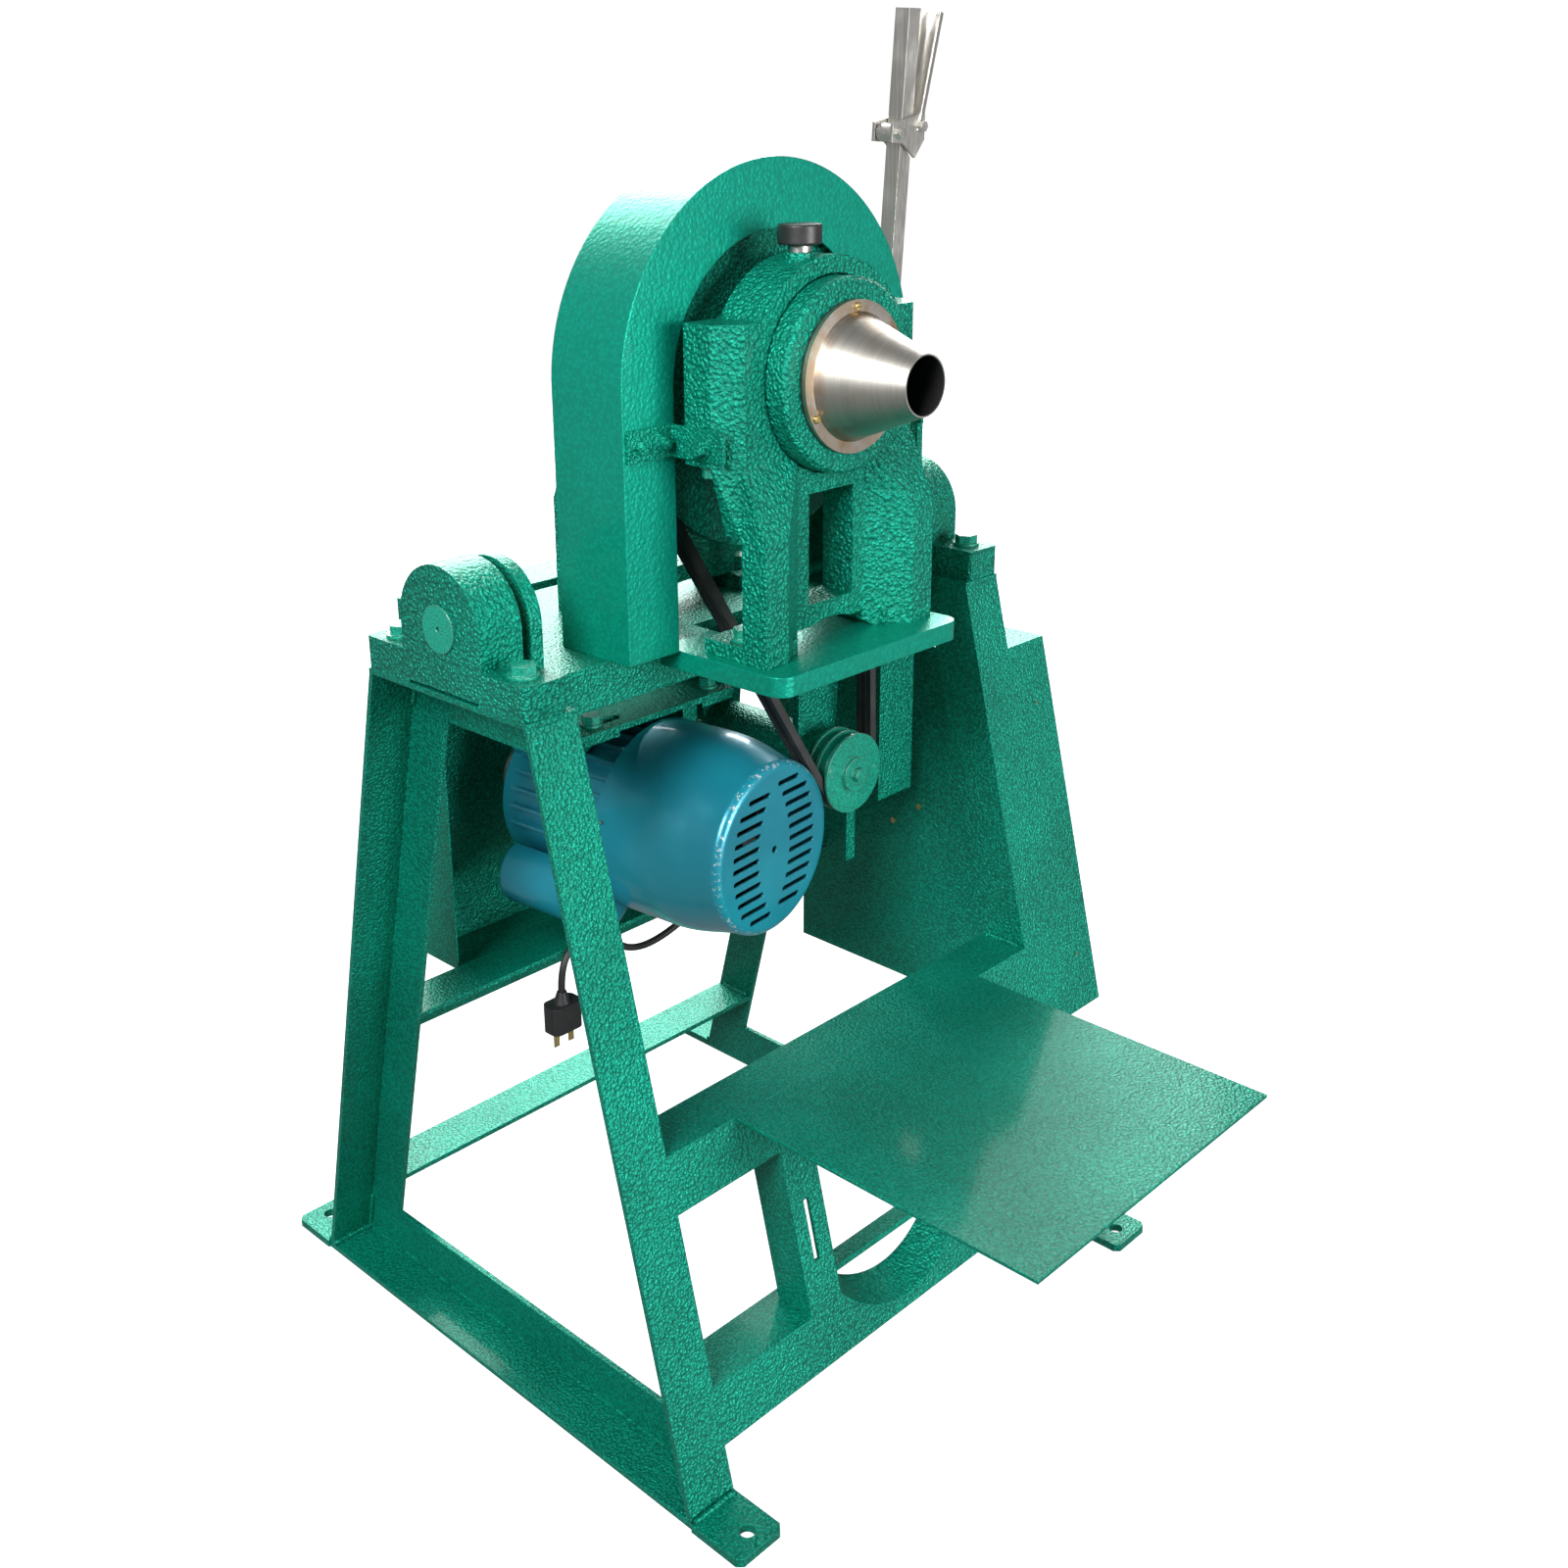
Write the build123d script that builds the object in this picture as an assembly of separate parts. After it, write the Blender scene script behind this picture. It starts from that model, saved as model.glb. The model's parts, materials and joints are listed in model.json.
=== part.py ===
from build123d import *
import os
from math import radians, degrees, sin, cos, tan, atan2, hypot, pi

# Tilting conical ball mill on an angle-iron stand, millimetres.
# X to the right, Y to the back, Z up. The origin is on the floor, at the centre of the four foot bolt holes.

# ---------------------------------------------------------------- driving dimensions
# stand
FRAME_W = 600.0            # over the outer faces of the legs
HALF_W = FRAME_W / 2
ANGLE = 50.0               # leg of the stand's angle iron
ANGLE_T = 5.0
BASE_Y = 268.1             # front face of the front legs at the floor, from the middle
RAIL_TOP = 666.0
TOP_Y = 103.7              # the same face at the top
LEG_LEAN = (BASE_Y - TOP_Y) / RAIL_TOP      # how far the leg faces lean in for each millimetre of height
UPPER_BAR_TOP = 300.0
LOWER_BAR_TOP = 97.0
FOOT_T = 8.0
FOOT_REACH = 56.0          # foot plate, past the leg
FOOT_HOLE_R = 7.0
FOOT_HOLE_X = HALF_W - 25.5
FOOT_HOLE_Y = BASE_Y + 37.4
# tray, its posts and the cradle band under it
TRAY_W = 340.0
TRAY_DEPTH = 307.0
TRAY_T = 3.0
POST_X = 127.0             # outer face of each post
POST_LEG = 40.0
POST_T = 4.0
POST_SLOT_W = 7.0
POST_SLOT_LOW = 141.0
POST_SLOT_HIGH = 199.0
BAND_R = 118.0
BAND_T = 3.0
BAND_DEPTH = 32.0
BAND_RISE = 13.0           # the band climbs this much from its front edge to its back edge
BAND_LOW = 58.0            # lowest point of its front edge
# tilting axis: pivot blocks, shafts and ears
TILT_Z = RAIL_TOP + 55.0
BLOCK_IN_X = HALF_W - 42.0
BLOCK_HALF_Y = 104.0
BLOCK_BASE_TOP = RAIL_TOP + 29.0
BLOCK_DOME_R = 52.0
PIVOT_R = 20.0
BUSH_T = 4.0
RUN_FIT = 0.05             # radial clearance of a turning fit
BLOCK_BOLT_Y = 80.0
BOLT_X = HALF_W - 19.0
COLLAR_OUT_X = BLOCK_IN_X - 5.0             # collar between ear and block
EAR_T = 12.0
EAR_OUT_X = COLLAR_OUT_X - 5.0
EAR_R = 50.0
LEVER_EAR_T = 8.0
LEVER_EAR_TOP = TILT_Z + 129.0
LEVER_EAR_HALF = 48.0
# tilting cradle
DECK_TOP = TILT_Z - 43.3
DECK_T = 8.0
DECK_FRONT_Y = -60.0
DECK_BACK_Y = 155.0
DECK_HALF_X = EAR_OUT_X - EAR_T
BEAM_T = 8.0
BEAM_LOW = DECK_TOP - 37.7
SHELF_HALF_X = 116.6
SHELF_FRONT_Y = -199.0
SHELF_T = 17.0
SHELF_CORNER_R = 15.0
BELT_SLOT_LEFT = (-56.0, 12.0)      # room for the two runs of the front belts
BELT_SLOT_RIGHT = (130.0, 170.0)
SLOT_BACK_Y = -36.0
STRIP_X = (176.0, 228.0)   # guard strip beside the small pulley
STRIP_T = 6.0
STRIP_LOW = DECK_TOP - 231.7
# turning spindle
SPINDLE_Z = TILT_Z + 180.0
PLANE_Y = -43.0            # the two bearing pedestals mirror about this plane
FEED_BORE_R = 21.0
TRUNNION_R = 45.0
COLLAR_R = 79.0
COLLAR_FRONT_Y = -168.0
COLLAR_L = 30.0
CONE_FLANGE_R = 61.4
CONE_FLANGE_Y = -173.6
CONE_BASE_R = 50.0
CONE_TIP_R = 24.8
CONE_TIP_Y = -244.0
CONE_WALL = 1.6
CONE_SCREW_R = 55.7        # pitch radius of its screws
DRUM_R = 140.0
DRUM_FRONT_Y = -71.0
DRUM_BACK_Y = -15.0
DRUM_WALL = 6.0
PULLEY_R = 153.0
GROOVE_PITCH = 12.0
GROOVE_DEPTH = 9.0
GROOVES = 2
# bearing pedestals
HOUSING_R = 95.0
HOUSING_HALF_X = 122.0
HOUSING_FRONT_Y = -148.0
HOUSING_L = 48.0
LUG_LOW = SPINDLE_Z - 62.0
LUG_TOP = SPINDLE_Z + 49.0
KNEE_Z = SPINDLE_Z - 119.0
LEG_FRONT_Y = -173.0
LEG_DEPTH = 27.0
CHEEK_T = 20.0
LEG_OUT_X = 106.0
LEG_IN_X = 80.0
WINDOW_HALF_X = 28.0
WINDOW_LOW = DECK_TOP + 33.3
WINDOW_HIGH = SPINDLE_Z - 95.0
BEARING_R = 68.0
COLLAR_RECESS_R = 80.5     # the collar's back runs in a recess in the front housing
COLLAR_RECESS = 12.5
ARCH_R = 80.0              # flat arch under the web
ARCH_H = 18.0
FOOT_PAD_T = 13.0
FOOT_PAD_BACK_Y = -101.0
PEDESTAL_BOLT = (86.0, -131.0)
CAP_BOLT = (108.0, -116.0)
CAP_BOLT_AF = 15.0
CAP_BOLT_L = 80.0
# belt guard
GUARD_FRONT_Y = -84.7
GUARD_BACK_Y = -1.0
GUARD_R = 175.0
GUARD_Z = SPINDLE_Z - 6.0            # centre of its arch
GUARD_T = 2.0
GUARD_WINDOW_R = 119.0
STRAP_Z = (SPINDLE_Z - 57.0, SPINDLE_Z - 31.0)      # brackets between the guard and the bearing housing
STRAP_T = 3.0
STRAP_END_X = -172.0
STRAP_FRONT_Y = -145.0
STRAP_STUD_X = (-162.0, -135.0)
STRAP_BOLT_Y = -121.0
STRAP_WASHER_R = 11.5
# countershaft and belts
COUNTER_X = 124.6
COUNTER_Z = SPINDLE_Z - 407.0
SMALL_PULLEY_R = 39.9
SMALL_PULLEY_FRONT_Y = -70.8
SMALL_PULLEY_L = 28.0
COUNTER_SHAFT_R = 12.5
COUNTER_HOUSE_R = 33.0
COUNTER_HOUSE = (-36.0, 150.0)
SECOND_PULLEY_R = 85.0
SECOND_Y = (222.0, 242.0)
BELT_T = 8.0
BELT_W = 9.0
BELT_GAP = 0.3             # between a belt and the floor of its groove
# motor, along its own axis from the fan cover's face
MOTOR_X = -1.5
MOTOR_Z = COUNTER_Z - 36.0
MOTOR_FACE_Y = -83.0
MOTOR_YAW = 5.5            # degrees: its drive end lies over to the left
FAN_COVER_R = 96.0         # at its open end
FAN_COVER_L = 140.0
FAN_FACE_R = 84.5          # over the rounded edge of its face
FAN_FACE_ROUND = 9.0
FAN_SWELL_L = 78.0         # from its face to its full radius
MOTOR_BODY_R = 81.0
FIN_H = 8.0
FINS = 32
MOTOR_BODY_L = 128.0
BELL_L = 22.0
MOTOR_SHAFT_R = 9.5
MOTOR_SHAFT_L = 44.0
MOTOR_PULLEY_R = 32.0
VENT_W = 5.0
VENT_L = 38.0
VENT_PITCH = 12.0
VENTS = 11
CAP_BOX_R = 33.0
PLATE_Z = (MOTOR_Z + 97.0, MOTOR_Z + 103.0)         # motor base plate, bottom and top
PLATE_X = (-111.0, 91.0)
PLATE_Y = (60.0, 192.0)
PLATE_SLOT_L = 46.0        # tensioning slots, along X
FOOT_SPANS = ((-101.0, -57.0), (52.0, 96.0))        # the motor's feet, along X
FOOT_BOLT_Y = (80.0, 170.0)
FOOT_PAD_H = 7.0
FOOT_WEB = 20.0            # how far a foot's web reaches in from its bolts
# rear belt guard
REAR_X = (-161.0, 222.0)
REAR_Y = (205.0, 262.0)
REAR_Z = (COUNTER_Z - 205.0, DECK_TOP - 9.7)
REAR_T = 2.0
# control cabinet on the right
CAB_X = (HALF_W - 45.0, HALF_W + 60.0)
CAB_Z = (209.0, 591.0)
CAB_BACK_Y = 112.0
CAB_T = 1.5
BUTTON_R = 11.0
BUTTON_TRAVEL = 4.0
BUTTON_Y = -60.0
BUTTON_Z = (500.0, 440.0)  # start above stop
# lever, its trigger and the latch
LEVER_W = 16.0
LEVER_X = EAR_OUT_X - LEVER_EAR_T - LEVER_W / 2
LEVER_WALL = 1.5
LEVER_LEAN = 3.9           # degrees towards the front
LEVER_FOOT = 50.0          # from the tilting axis
LEVER_TOP_Z = TILT_Z + 469.0
TRIGGER_Z = TILT_Z + 363.0
TRIGGER_SWING = 12.0
LATCH_R = 2.5
DISC_R = 42.0
DISC_T = 8.0
LATCH_GAP = 0.4            # the rod is drawn just clear of the disc
# grease cup on the front bearing
CUP_X = -18.0
CUP_Y = -128.0
CUP_R = 18.0
CUP_TOP = SPINDLE_Z + 119.0
CUP_SEAT_Z = SPINDLE_Z + 97.0
# fasteners
BOLT_AF = 19.0             # across the flats
BOLT_HEAD = 8.0
WASHER_T = 2.5
# free mains cord
CORD_R = 3.75
CORD_ROUTE = [(225, 95, 330), (203, 95, 330), (181, 103, 324), (160, 119, 311), (136, 132, 297), (108, 137.5, 284),
              (80, 138, 274), (52, 138.2, 268), (26, 138, 268), (3, 138, 276), (-15, 138.6, 294), (-36, 143.5, 308.5),
              (-60, 140.5, 308), (-79, 136.5, 294), (-84, 137, 272), (-84, 137, 260)]

INNER_X = HALF_W - ANGLE
LEAN = degrees(atan2(LEG_LEAN, 1))
FACE_T = ANGLE_T / cos(radians(LEAN))      # a leg's thickness, measured along Y
FACE_W = ANGLE / cos(radians(LEAN))        # an angle's width, measured along Y
RAIL_UNDER = RAIL_TOP - ANGLE_T
PARTS = "parts"


# ---------------------------------------------------------------- helpers
def block(x, y, z):
    """A box from (low, high) pairs."""
    size = [abs(b - a) for a, b in (x, y, z)]
    return Pos((x[0] + x[1]) / 2, (y[0] + y[1]) / 2, (z[0] + z[1]) / 2) * Box(*size)


def rod_x(y, z, r, x0, x1):
    return Pos((x0 + x1) / 2, y, z) * Rot(0, 90, 0) * Cylinder(r, abs(x1 - x0))


def rod_y(x, z, r, y0, y1):
    return Pos(x, (y0 + y1) / 2, z) * Rot(90, 0, 0) * Cylinder(r, abs(y1 - y0))


def rod_z(x, y, r, z0, z1):
    return Pos(x, y, (z0 + z1) / 2) * Cylinder(r, abs(z1 - z0))


def prism_x(points, x0, x1):
    """A (y, z) outline run along X."""
    face = make_face(Polyline([(0, y, z) for y, z in points], close=True))
    return Pos(min(x0, x1), 0, 0) * extrude(face, amount=abs(x1 - x0), dir=(1, 0, 0))


def prism_y(points, y0, y1):
    """An (x, z) outline run along Y."""
    face = make_face(Polyline([(x, 0, z) for x, z in points], close=True))
    return Pos(0, min(y0, y1), 0) * extrude(face, amount=abs(y1 - y0), dir=(0, 1, 0))


def prism_z(points, z0, z1):
    """An (x, y) outline run along Z."""
    face = make_face(Polyline([(x, y, 0) for x, y in points], close=True))
    return Pos(0, 0, min(z0, z1)) * extrude(face, amount=abs(z1 - z0), dir=(0, 0, 1))


def turned_y(profile, x, z):
    """A closed (radius, y) profile turned about the line through (x, z) along Y."""
    face = make_face(Polyline([(r, y, 0) for r, y in profile], close=True))
    return Pos(x, 0, z) * revolve(face, Axis.Y)


def hex_y(x, y0, y1, z, flats):
    head = extrude(RegularPolygon(flats / 2, 6, major_radius=False), amount=abs(y1 - y0))
    return Pos(x, max(y0, y1), z) * Rot(90, 0, 0) * head


def hex_z(x, y, z0, z1, flats):
    head = extrude(RegularPolygon(flats / 2, 6, major_radius=False), amount=abs(z1 - z0))
    return Pos(x, y, min(z0, z1)) * head


def bolt_down(x, y, z, shank, flats=BOLT_AF):
    """A hex bolt with a washer standing on the face at height z, its shank going down."""
    r = flats * 0.27
    top = z + WASHER_T
    return hex_z(x, y, top, top + BOLT_HEAD, flats) + rod_z(x, y, flats * 0.68, z, top) + rod_z(x, y, r, z - shank, z)


def left_right(shapes):
    """The shapes and their mirror images across the middle plane."""
    return shapes + [mirror(shape, about=Plane.YZ) for shape in shapes]


def to_back(shape):
    """The mirror image on the other bearing."""
    return mirror(shape, about=Plane.XZ.offset(-PLANE_Y))


def group(items):
    """Separate solids kept together as one node."""
    return Compound(children=[solid for item in items for solid in item.solids()])


def front_y(z):
    """Y of the front legs' outer face at height z."""
    return -(BASE_Y - LEG_LEAN * z)


def about_tilt(shape, angle):
    """The shape turned about the tilting axis, towards the front for a positive angle."""
    return Pos(0, 0, TILT_Z) * Rot(angle, 0, 0) * Pos(0, 0, -TILT_Z) * shape


# ---------------------------------------------------------------- stand
def leg(side, end):
    """One leg: side is -1 left, 1 right; end is -1 front, 1 back."""
    low, high = ANGLE_T, RAIL_UNDER
    flange_low, flange_high = ANGLE, RAIL_TOP - ANGLE
    wide = prism_x([(front_y(low), low), (front_y(high), high), (front_y(high) + FACE_T, high),
                    (front_y(low) + FACE_T, low)], INNER_X, HALF_W)
    side_flange = prism_x([(front_y(flange_low) + FACE_T, flange_low), (front_y(flange_high) + FACE_T, flange_high),
                           (front_y(flange_high) + FACE_W, flange_high), (front_y(flange_low) + FACE_W, flange_low)],
                          INNER_X, INNER_X + ANGLE_T)
    shape = wide + side_flange
    if end > 0:
        shape = mirror(shape, about=Plane.XZ)
    return shape if side > 0 else mirror(shape, about=Plane.YZ)


def rail(side, low, high, flat_low):
    """A rail along Y with its flat flange outwards and its upright flange at the inner side."""
    flat = block((INNER_X, HALF_W), (front_y(flat_low), -front_y(flat_low)), (flat_low, flat_low + ANGLE_T))
    ends = [(front_y(low) + FACE_T, low), (front_y(high) + FACE_T, high), (-front_y(high) - FACE_T, high),
            (-front_y(low) - FACE_T, low)]
    upright = prism_x(ends, INNER_X, INNER_X + ANGLE_T)
    shape = flat + upright
    return shape if side > 0 else mirror(shape, about=Plane.YZ)


def cross_bar(end, top):
    """An angle between the legs: its upright flange is flush with their faces, the other lies on top."""
    low = top - ANGLE
    under = top - ANGLE_T
    outline = [(front_y(low), low), (front_y(top), top), (front_y(top) + ANGLE, top), (front_y(top) + ANGLE, under),
               (front_y(under) + FACE_T, under), (front_y(low) + FACE_T, low)]
    shape = prism_x(outline, -INNER_X, INNER_X)
    return shape if end < 0 else mirror(shape, about=Plane.XZ)


def band_channel(radius):
    """A solid round bar along the band's axis, which climbs towards the back."""
    slope = BAND_RISE / BAND_DEPTH
    run = BAND_DEPTH + 2 * ANGLE
    start = front_y(BAND_LOW) - ANGLE
    bar = extrude(Plane.XZ * Circle(radius), amount=run * hypot(1, slope), dir=(0, 1, slope))
    return Pos(0, start, BAND_LOW + BAND_R - slope * ANGLE) * bar


def front_lower_bar():
    """The lower front bar, cut out round the band and its back plate."""
    pocket = prism_x([(front_y(0) - ANGLE, 0), (front_y(160) - ANGLE, 160), (front_y(160) + BAND_DEPTH, 160),
                      (front_y(0) + BAND_DEPTH, 0)], -HALF_W, HALF_W)
    bar = cross_bar(-1, LOWER_BAR_TOP)
    return bar - (band_channel(BAND_R + BAND_T) & pocket)


def cradle_band():
    """A curved strip whose front edge lies in the plane of the bars, between the two posts."""
    half = POST_X - POST_T
    strip = band_channel(BAND_R + BAND_T) - band_channel(BAND_R)
    keep = prism_x([(front_y(0), 0), (front_y(POST_SLOT_LOW), POST_SLOT_LOW),
                    (front_y(POST_SLOT_LOW) + BAND_DEPTH, POST_SLOT_LOW), (front_y(0) + BAND_DEPTH, 0)], -half, half)
    return (strip & keep) - tray_post(-1) - tray_post(1)


def tray_post(side):
    """A slotted angle between the two front bars."""
    low, high = LOWER_BAR_TOP, UPPER_BAR_TOP - ANGLE
    t = POST_T / cos(radians(LEAN))
    face = prism_x([(front_y(low), low), (front_y(high), high), (front_y(high) + t, high), (front_y(low) + t, low)],
                   -POST_X, -POST_X + POST_LEG)
    web = prism_x([(front_y(low), low), (front_y(high), high), (front_y(high) + POST_LEG, high),
                   (front_y(low) + POST_LEG, low)], -POST_X, -POST_X + POST_T)
    slot_x = -POST_X + 16.0
    slot = block((slot_x, slot_x + POST_SLOT_W), (-400, 0), (POST_SLOT_LOW, POST_SLOT_HIGH))
    keep = block((-POST_X + POST_T + 1, 0), (-400, 0), (0, 400))
    shape = (face - (slot & keep)) + web
    return shape if side < 0 else mirror(shape, about=Plane.YZ)


def tray():
    top = UPPER_BAR_TOP
    under = top - TRAY_T
    front = front_y(top) - TRAY_DEPTH
    outline = [(front, under), (front, top), (front_y(top), top), (front_y(under), under)]
    return prism_x(outline, -TRAY_W / 2, TRAY_W / 2)


def foot_plates():
    """Four bolted-down plates, one past each leg."""
    plates = []
    for sx in (-1, 1):
        for sy in (-1, 1):
            xs = sorted((sx * INNER_X, sx * (HALF_W + 2)))
            ys = sorted((sy * BASE_Y, sy * (BASE_Y + FOOT_REACH)))
            plate = block(xs, ys, (0, FOOT_T))
            uprights = plate.edges().filter_by(Axis.Z).sort_by(Axis.Y)
            plate = chamfer(uprights[-2:] if sy > 0 else uprights[:2], 5)
            plates.append(plate - rod_z(sx * FOOT_HOLE_X, sy * FOOT_HOLE_Y, FOOT_HOLE_R, -1, FOOT_T + 1))
    return group(plates)


def pivot_block(side):
    """A cast block with a domed bearing, standing on the top rail."""
    base = block((BLOCK_IN_X, HALF_W), (-BLOCK_HALF_Y, BLOCK_HALF_Y), (RAIL_TOP, BLOCK_BASE_TOP))
    base = fillet(base.edges().filter_by(Axis.Z), 4)
    dome = rod_x(0, TILT_Z, BLOCK_DOME_R, BLOCK_IN_X, HALF_W)
    cheek = block((BLOCK_IN_X, HALF_W), (-BLOCK_DOME_R, BLOCK_DOME_R), (BLOCK_BASE_TOP - 10, TILT_Z))
    relief = block((BLOCK_IN_X - 1, HALF_W + 1), (-46, 46), (RAIL_TOP - 1, RAIL_TOP + 3))
    shape = base + dome + cheek - relief
    shape -= rod_x(0, TILT_Z, PIVOT_R, BLOCK_IN_X - 1, HALF_W + 1)
    for y in (-BLOCK_BOLT_Y, BLOCK_BOLT_Y):
        shape -= rod_z(BOLT_X, y, BOLT_AF * 0.27 + 0.5, RAIL_TOP - 1, BLOCK_BASE_TOP + 1)
    return shape if side > 0 else mirror(shape, about=Plane.YZ)


def block_bolts():
    """Bolts through the pivot blocks and the top rails' flat flange."""
    shank = BLOCK_BASE_TOP - RAIL_TOP
    bolts = [bolt_down(BOLT_X, y, BLOCK_BASE_TOP, shank) for y in (-BLOCK_BOLT_Y, BLOCK_BOLT_Y)]
    return group(left_right(bolts))


def pivot_shafts():
    """Fixed shafts pressed into the blocks. The right one reaches inwards to carry the latch disc."""
    left = rod_x(0, TILT_Z, PIVOT_R, -HALF_W - 1.5, -EAR_OUT_X + EAR_T)
    right = rod_x(0, TILT_Z, PIVOT_R, LEVER_X - DISC_T / 2 - 3, HALF_W + 1.5)
    centre_drill = rod_x(0, TILT_Z, 2.2, HALF_W - 4, HALF_W + 5)
    return group([left - mirror(centre_drill, about=Plane.YZ), right - centre_drill])


def ear_bush(side):
    """The bush in an ear, which turns on the fixed shaft; its collar keeps the ear off the block."""
    ear_in = EAR_OUT_X - (EAR_T if side < 0 else LEVER_EAR_T)
    bush = rod_x(0, TILT_Z, PIVOT_R + BUSH_T, ear_in, EAR_OUT_X)
    bush += rod_x(0, TILT_Z, PIVOT_R + 9, EAR_OUT_X, COLLAR_OUT_X)
    bush -= rod_x(0, TILT_Z, PIVOT_R + RUN_FIT, 0, HALF_W)
    return bush if side > 0 else mirror(bush, about=Plane.YZ)


def latch_disc():
    """A notched disc keyed on the fixed right shaft; the lever's latch rod works against its rim."""
    disc = rod_x(0, TILT_Z, DISC_R, LEVER_X - DISC_T / 2, LEVER_X + DISC_T / 2)
    disc -= rod_x(0, TILT_Z, PIVOT_R, 0, HALF_W)
    for angle in (LEVER_LEAN, LEVER_LEAN + 25, LEVER_LEAN + 50):
        notch = rod_x(0, TILT_Z + DISC_R, LATCH_R + 1, 0, 300)
        disc -= about_tilt(notch, angle)
    return disc


# ---------------------------------------------------------------- tilting cradle
def belt_slots(low, high):
    """The room that the two runs of the front belts need through the cradle."""
    left = block(BELT_SLOT_LEFT, (DRUM_FRONT_Y - 8, SLOT_BACK_Y), (low, high))
    right = block(BELT_SLOT_RIGHT, (DRUM_FRONT_Y - 8, SLOT_BACK_Y), (low, high))
    return left + right


def cradle_deck():
    plate = block((-DECK_HALF_X, DECK_HALF_X + EAR_T - LEVER_EAR_T), (DECK_FRONT_Y, DECK_BACK_Y),
                  (DECK_TOP - DECK_T, DECK_TOP))
    return plate - belt_slots(BEAM_LOW, DECK_TOP + 5)


def cradle_beams():
    """Flat bars on edge under the deck: two along the sides, a split one in front, one behind."""
    z = (BEAM_LOW, DECK_TOP - DECK_T)
    right_x = DECK_HALF_X + EAR_T - LEVER_EAR_T
    front = (DECK_FRONT_Y, DECK_FRONT_Y + BEAM_T)
    back = (DECK_BACK_Y - BEAM_T, DECK_BACK_Y)
    left_side = block((-DECK_HALF_X, -DECK_HALF_X + BEAM_T), (front[1], back[0]), z)
    right_side = block((right_x - BEAM_T, right_x), (front[1], back[0]), z)
    front_left = block((-DECK_HALF_X, BELT_SLOT_LEFT[0] - 2), front, z)
    front_right = block((BELT_SLOT_RIGHT[1] + 2, right_x), front, z)
    rear = block((-DECK_HALF_X, right_x), back, z)
    arms = []
    for x in (REAR_X[0] + REAR_T + BEAM_T / 2, REAR_X[1] - REAR_T - BEAM_T / 2):
        arms.append(block((x - BEAM_T / 2, x + BEAM_T / 2), (DECK_BACK_Y, REAR_Y[0] + 30), (z[0], REAR_Z[1] - REAR_T)))
    shape = front_left + left_side + rear + right_side + front_right
    for arm in arms:
        shape += arm
    return shape


def ear_left():
    """A rounded plate welded to the deck's left edge."""
    x = (-EAR_OUT_X, -EAR_OUT_X + EAR_T)
    plate = rod_x(0, TILT_Z, EAR_R, *x) + block(x, (-EAR_R, EAR_R), (BEAM_LOW, TILT_Z))
    return plate - rod_x(0, TILT_Z, PIVOT_R + BUSH_T, -HALF_W, 0)


def ear_right():
    """A taller plate that also carries the lever."""
    x = (EAR_OUT_X - LEVER_EAR_T, EAR_OUT_X)
    plate = block(x, (-LEVER_EAR_HALF, LEVER_EAR_HALF), (BEAM_LOW, LEVER_EAR_TOP))
    plate = fillet(plate.edges().filter_by(Axis.X).group_by(Axis.Z)[-1], 18)
    return plate - rod_x(0, TILT_Z, PIVOT_R + BUSH_T, 0, HALF_W)


def front_shelf():
    """The thick plate under the front bearing, with rounded front corners."""
    plate = block((-SHELF_HALF_X, SHELF_HALF_X), (SHELF_FRONT_Y, DECK_FRONT_Y), (DECK_TOP - SHELF_T, DECK_TOP))
    front_edges = plate.edges().filter_by(Axis.Z).sort_by(Axis.Y)[:2]
    plate = fillet(front_edges, SHELF_CORNER_R)
    plate -= belt_slots(BEAM_LOW, DECK_TOP + 5)
    for x in (-PEDESTAL_BOLT[0], PEDESTAL_BOLT[0]):
        plate -= rod_z(x, PEDESTAL_BOLT[1], BOLT_AF * 0.27 + 0.5, BEAM_LOW, DECK_TOP + 1)
    return plate


def pulley_strip():
    """A flat bar that hangs from the front beam beside the small pulley."""
    return block(STRIP_X, (DECK_FRONT_Y, DECK_FRONT_Y + STRIP_T), (STRIP_LOW, BEAM_LOW))


# ---------------------------------------------------------------- bearing pedestals
def housing_outline():
    """Plan view of the split housing: front corners cut at 45 degrees."""
    x, cut = HOUSING_HALF_X, 19.0
    y0, y1 = HOUSING_FRONT_Y, HOUSING_FRONT_Y + HOUSING_L
    return [(-x + cut, y0), (x - cut, y0), (x, y0 + cut), (x, y1), (-x, y1), (-x, y0 + cut)]


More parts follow.
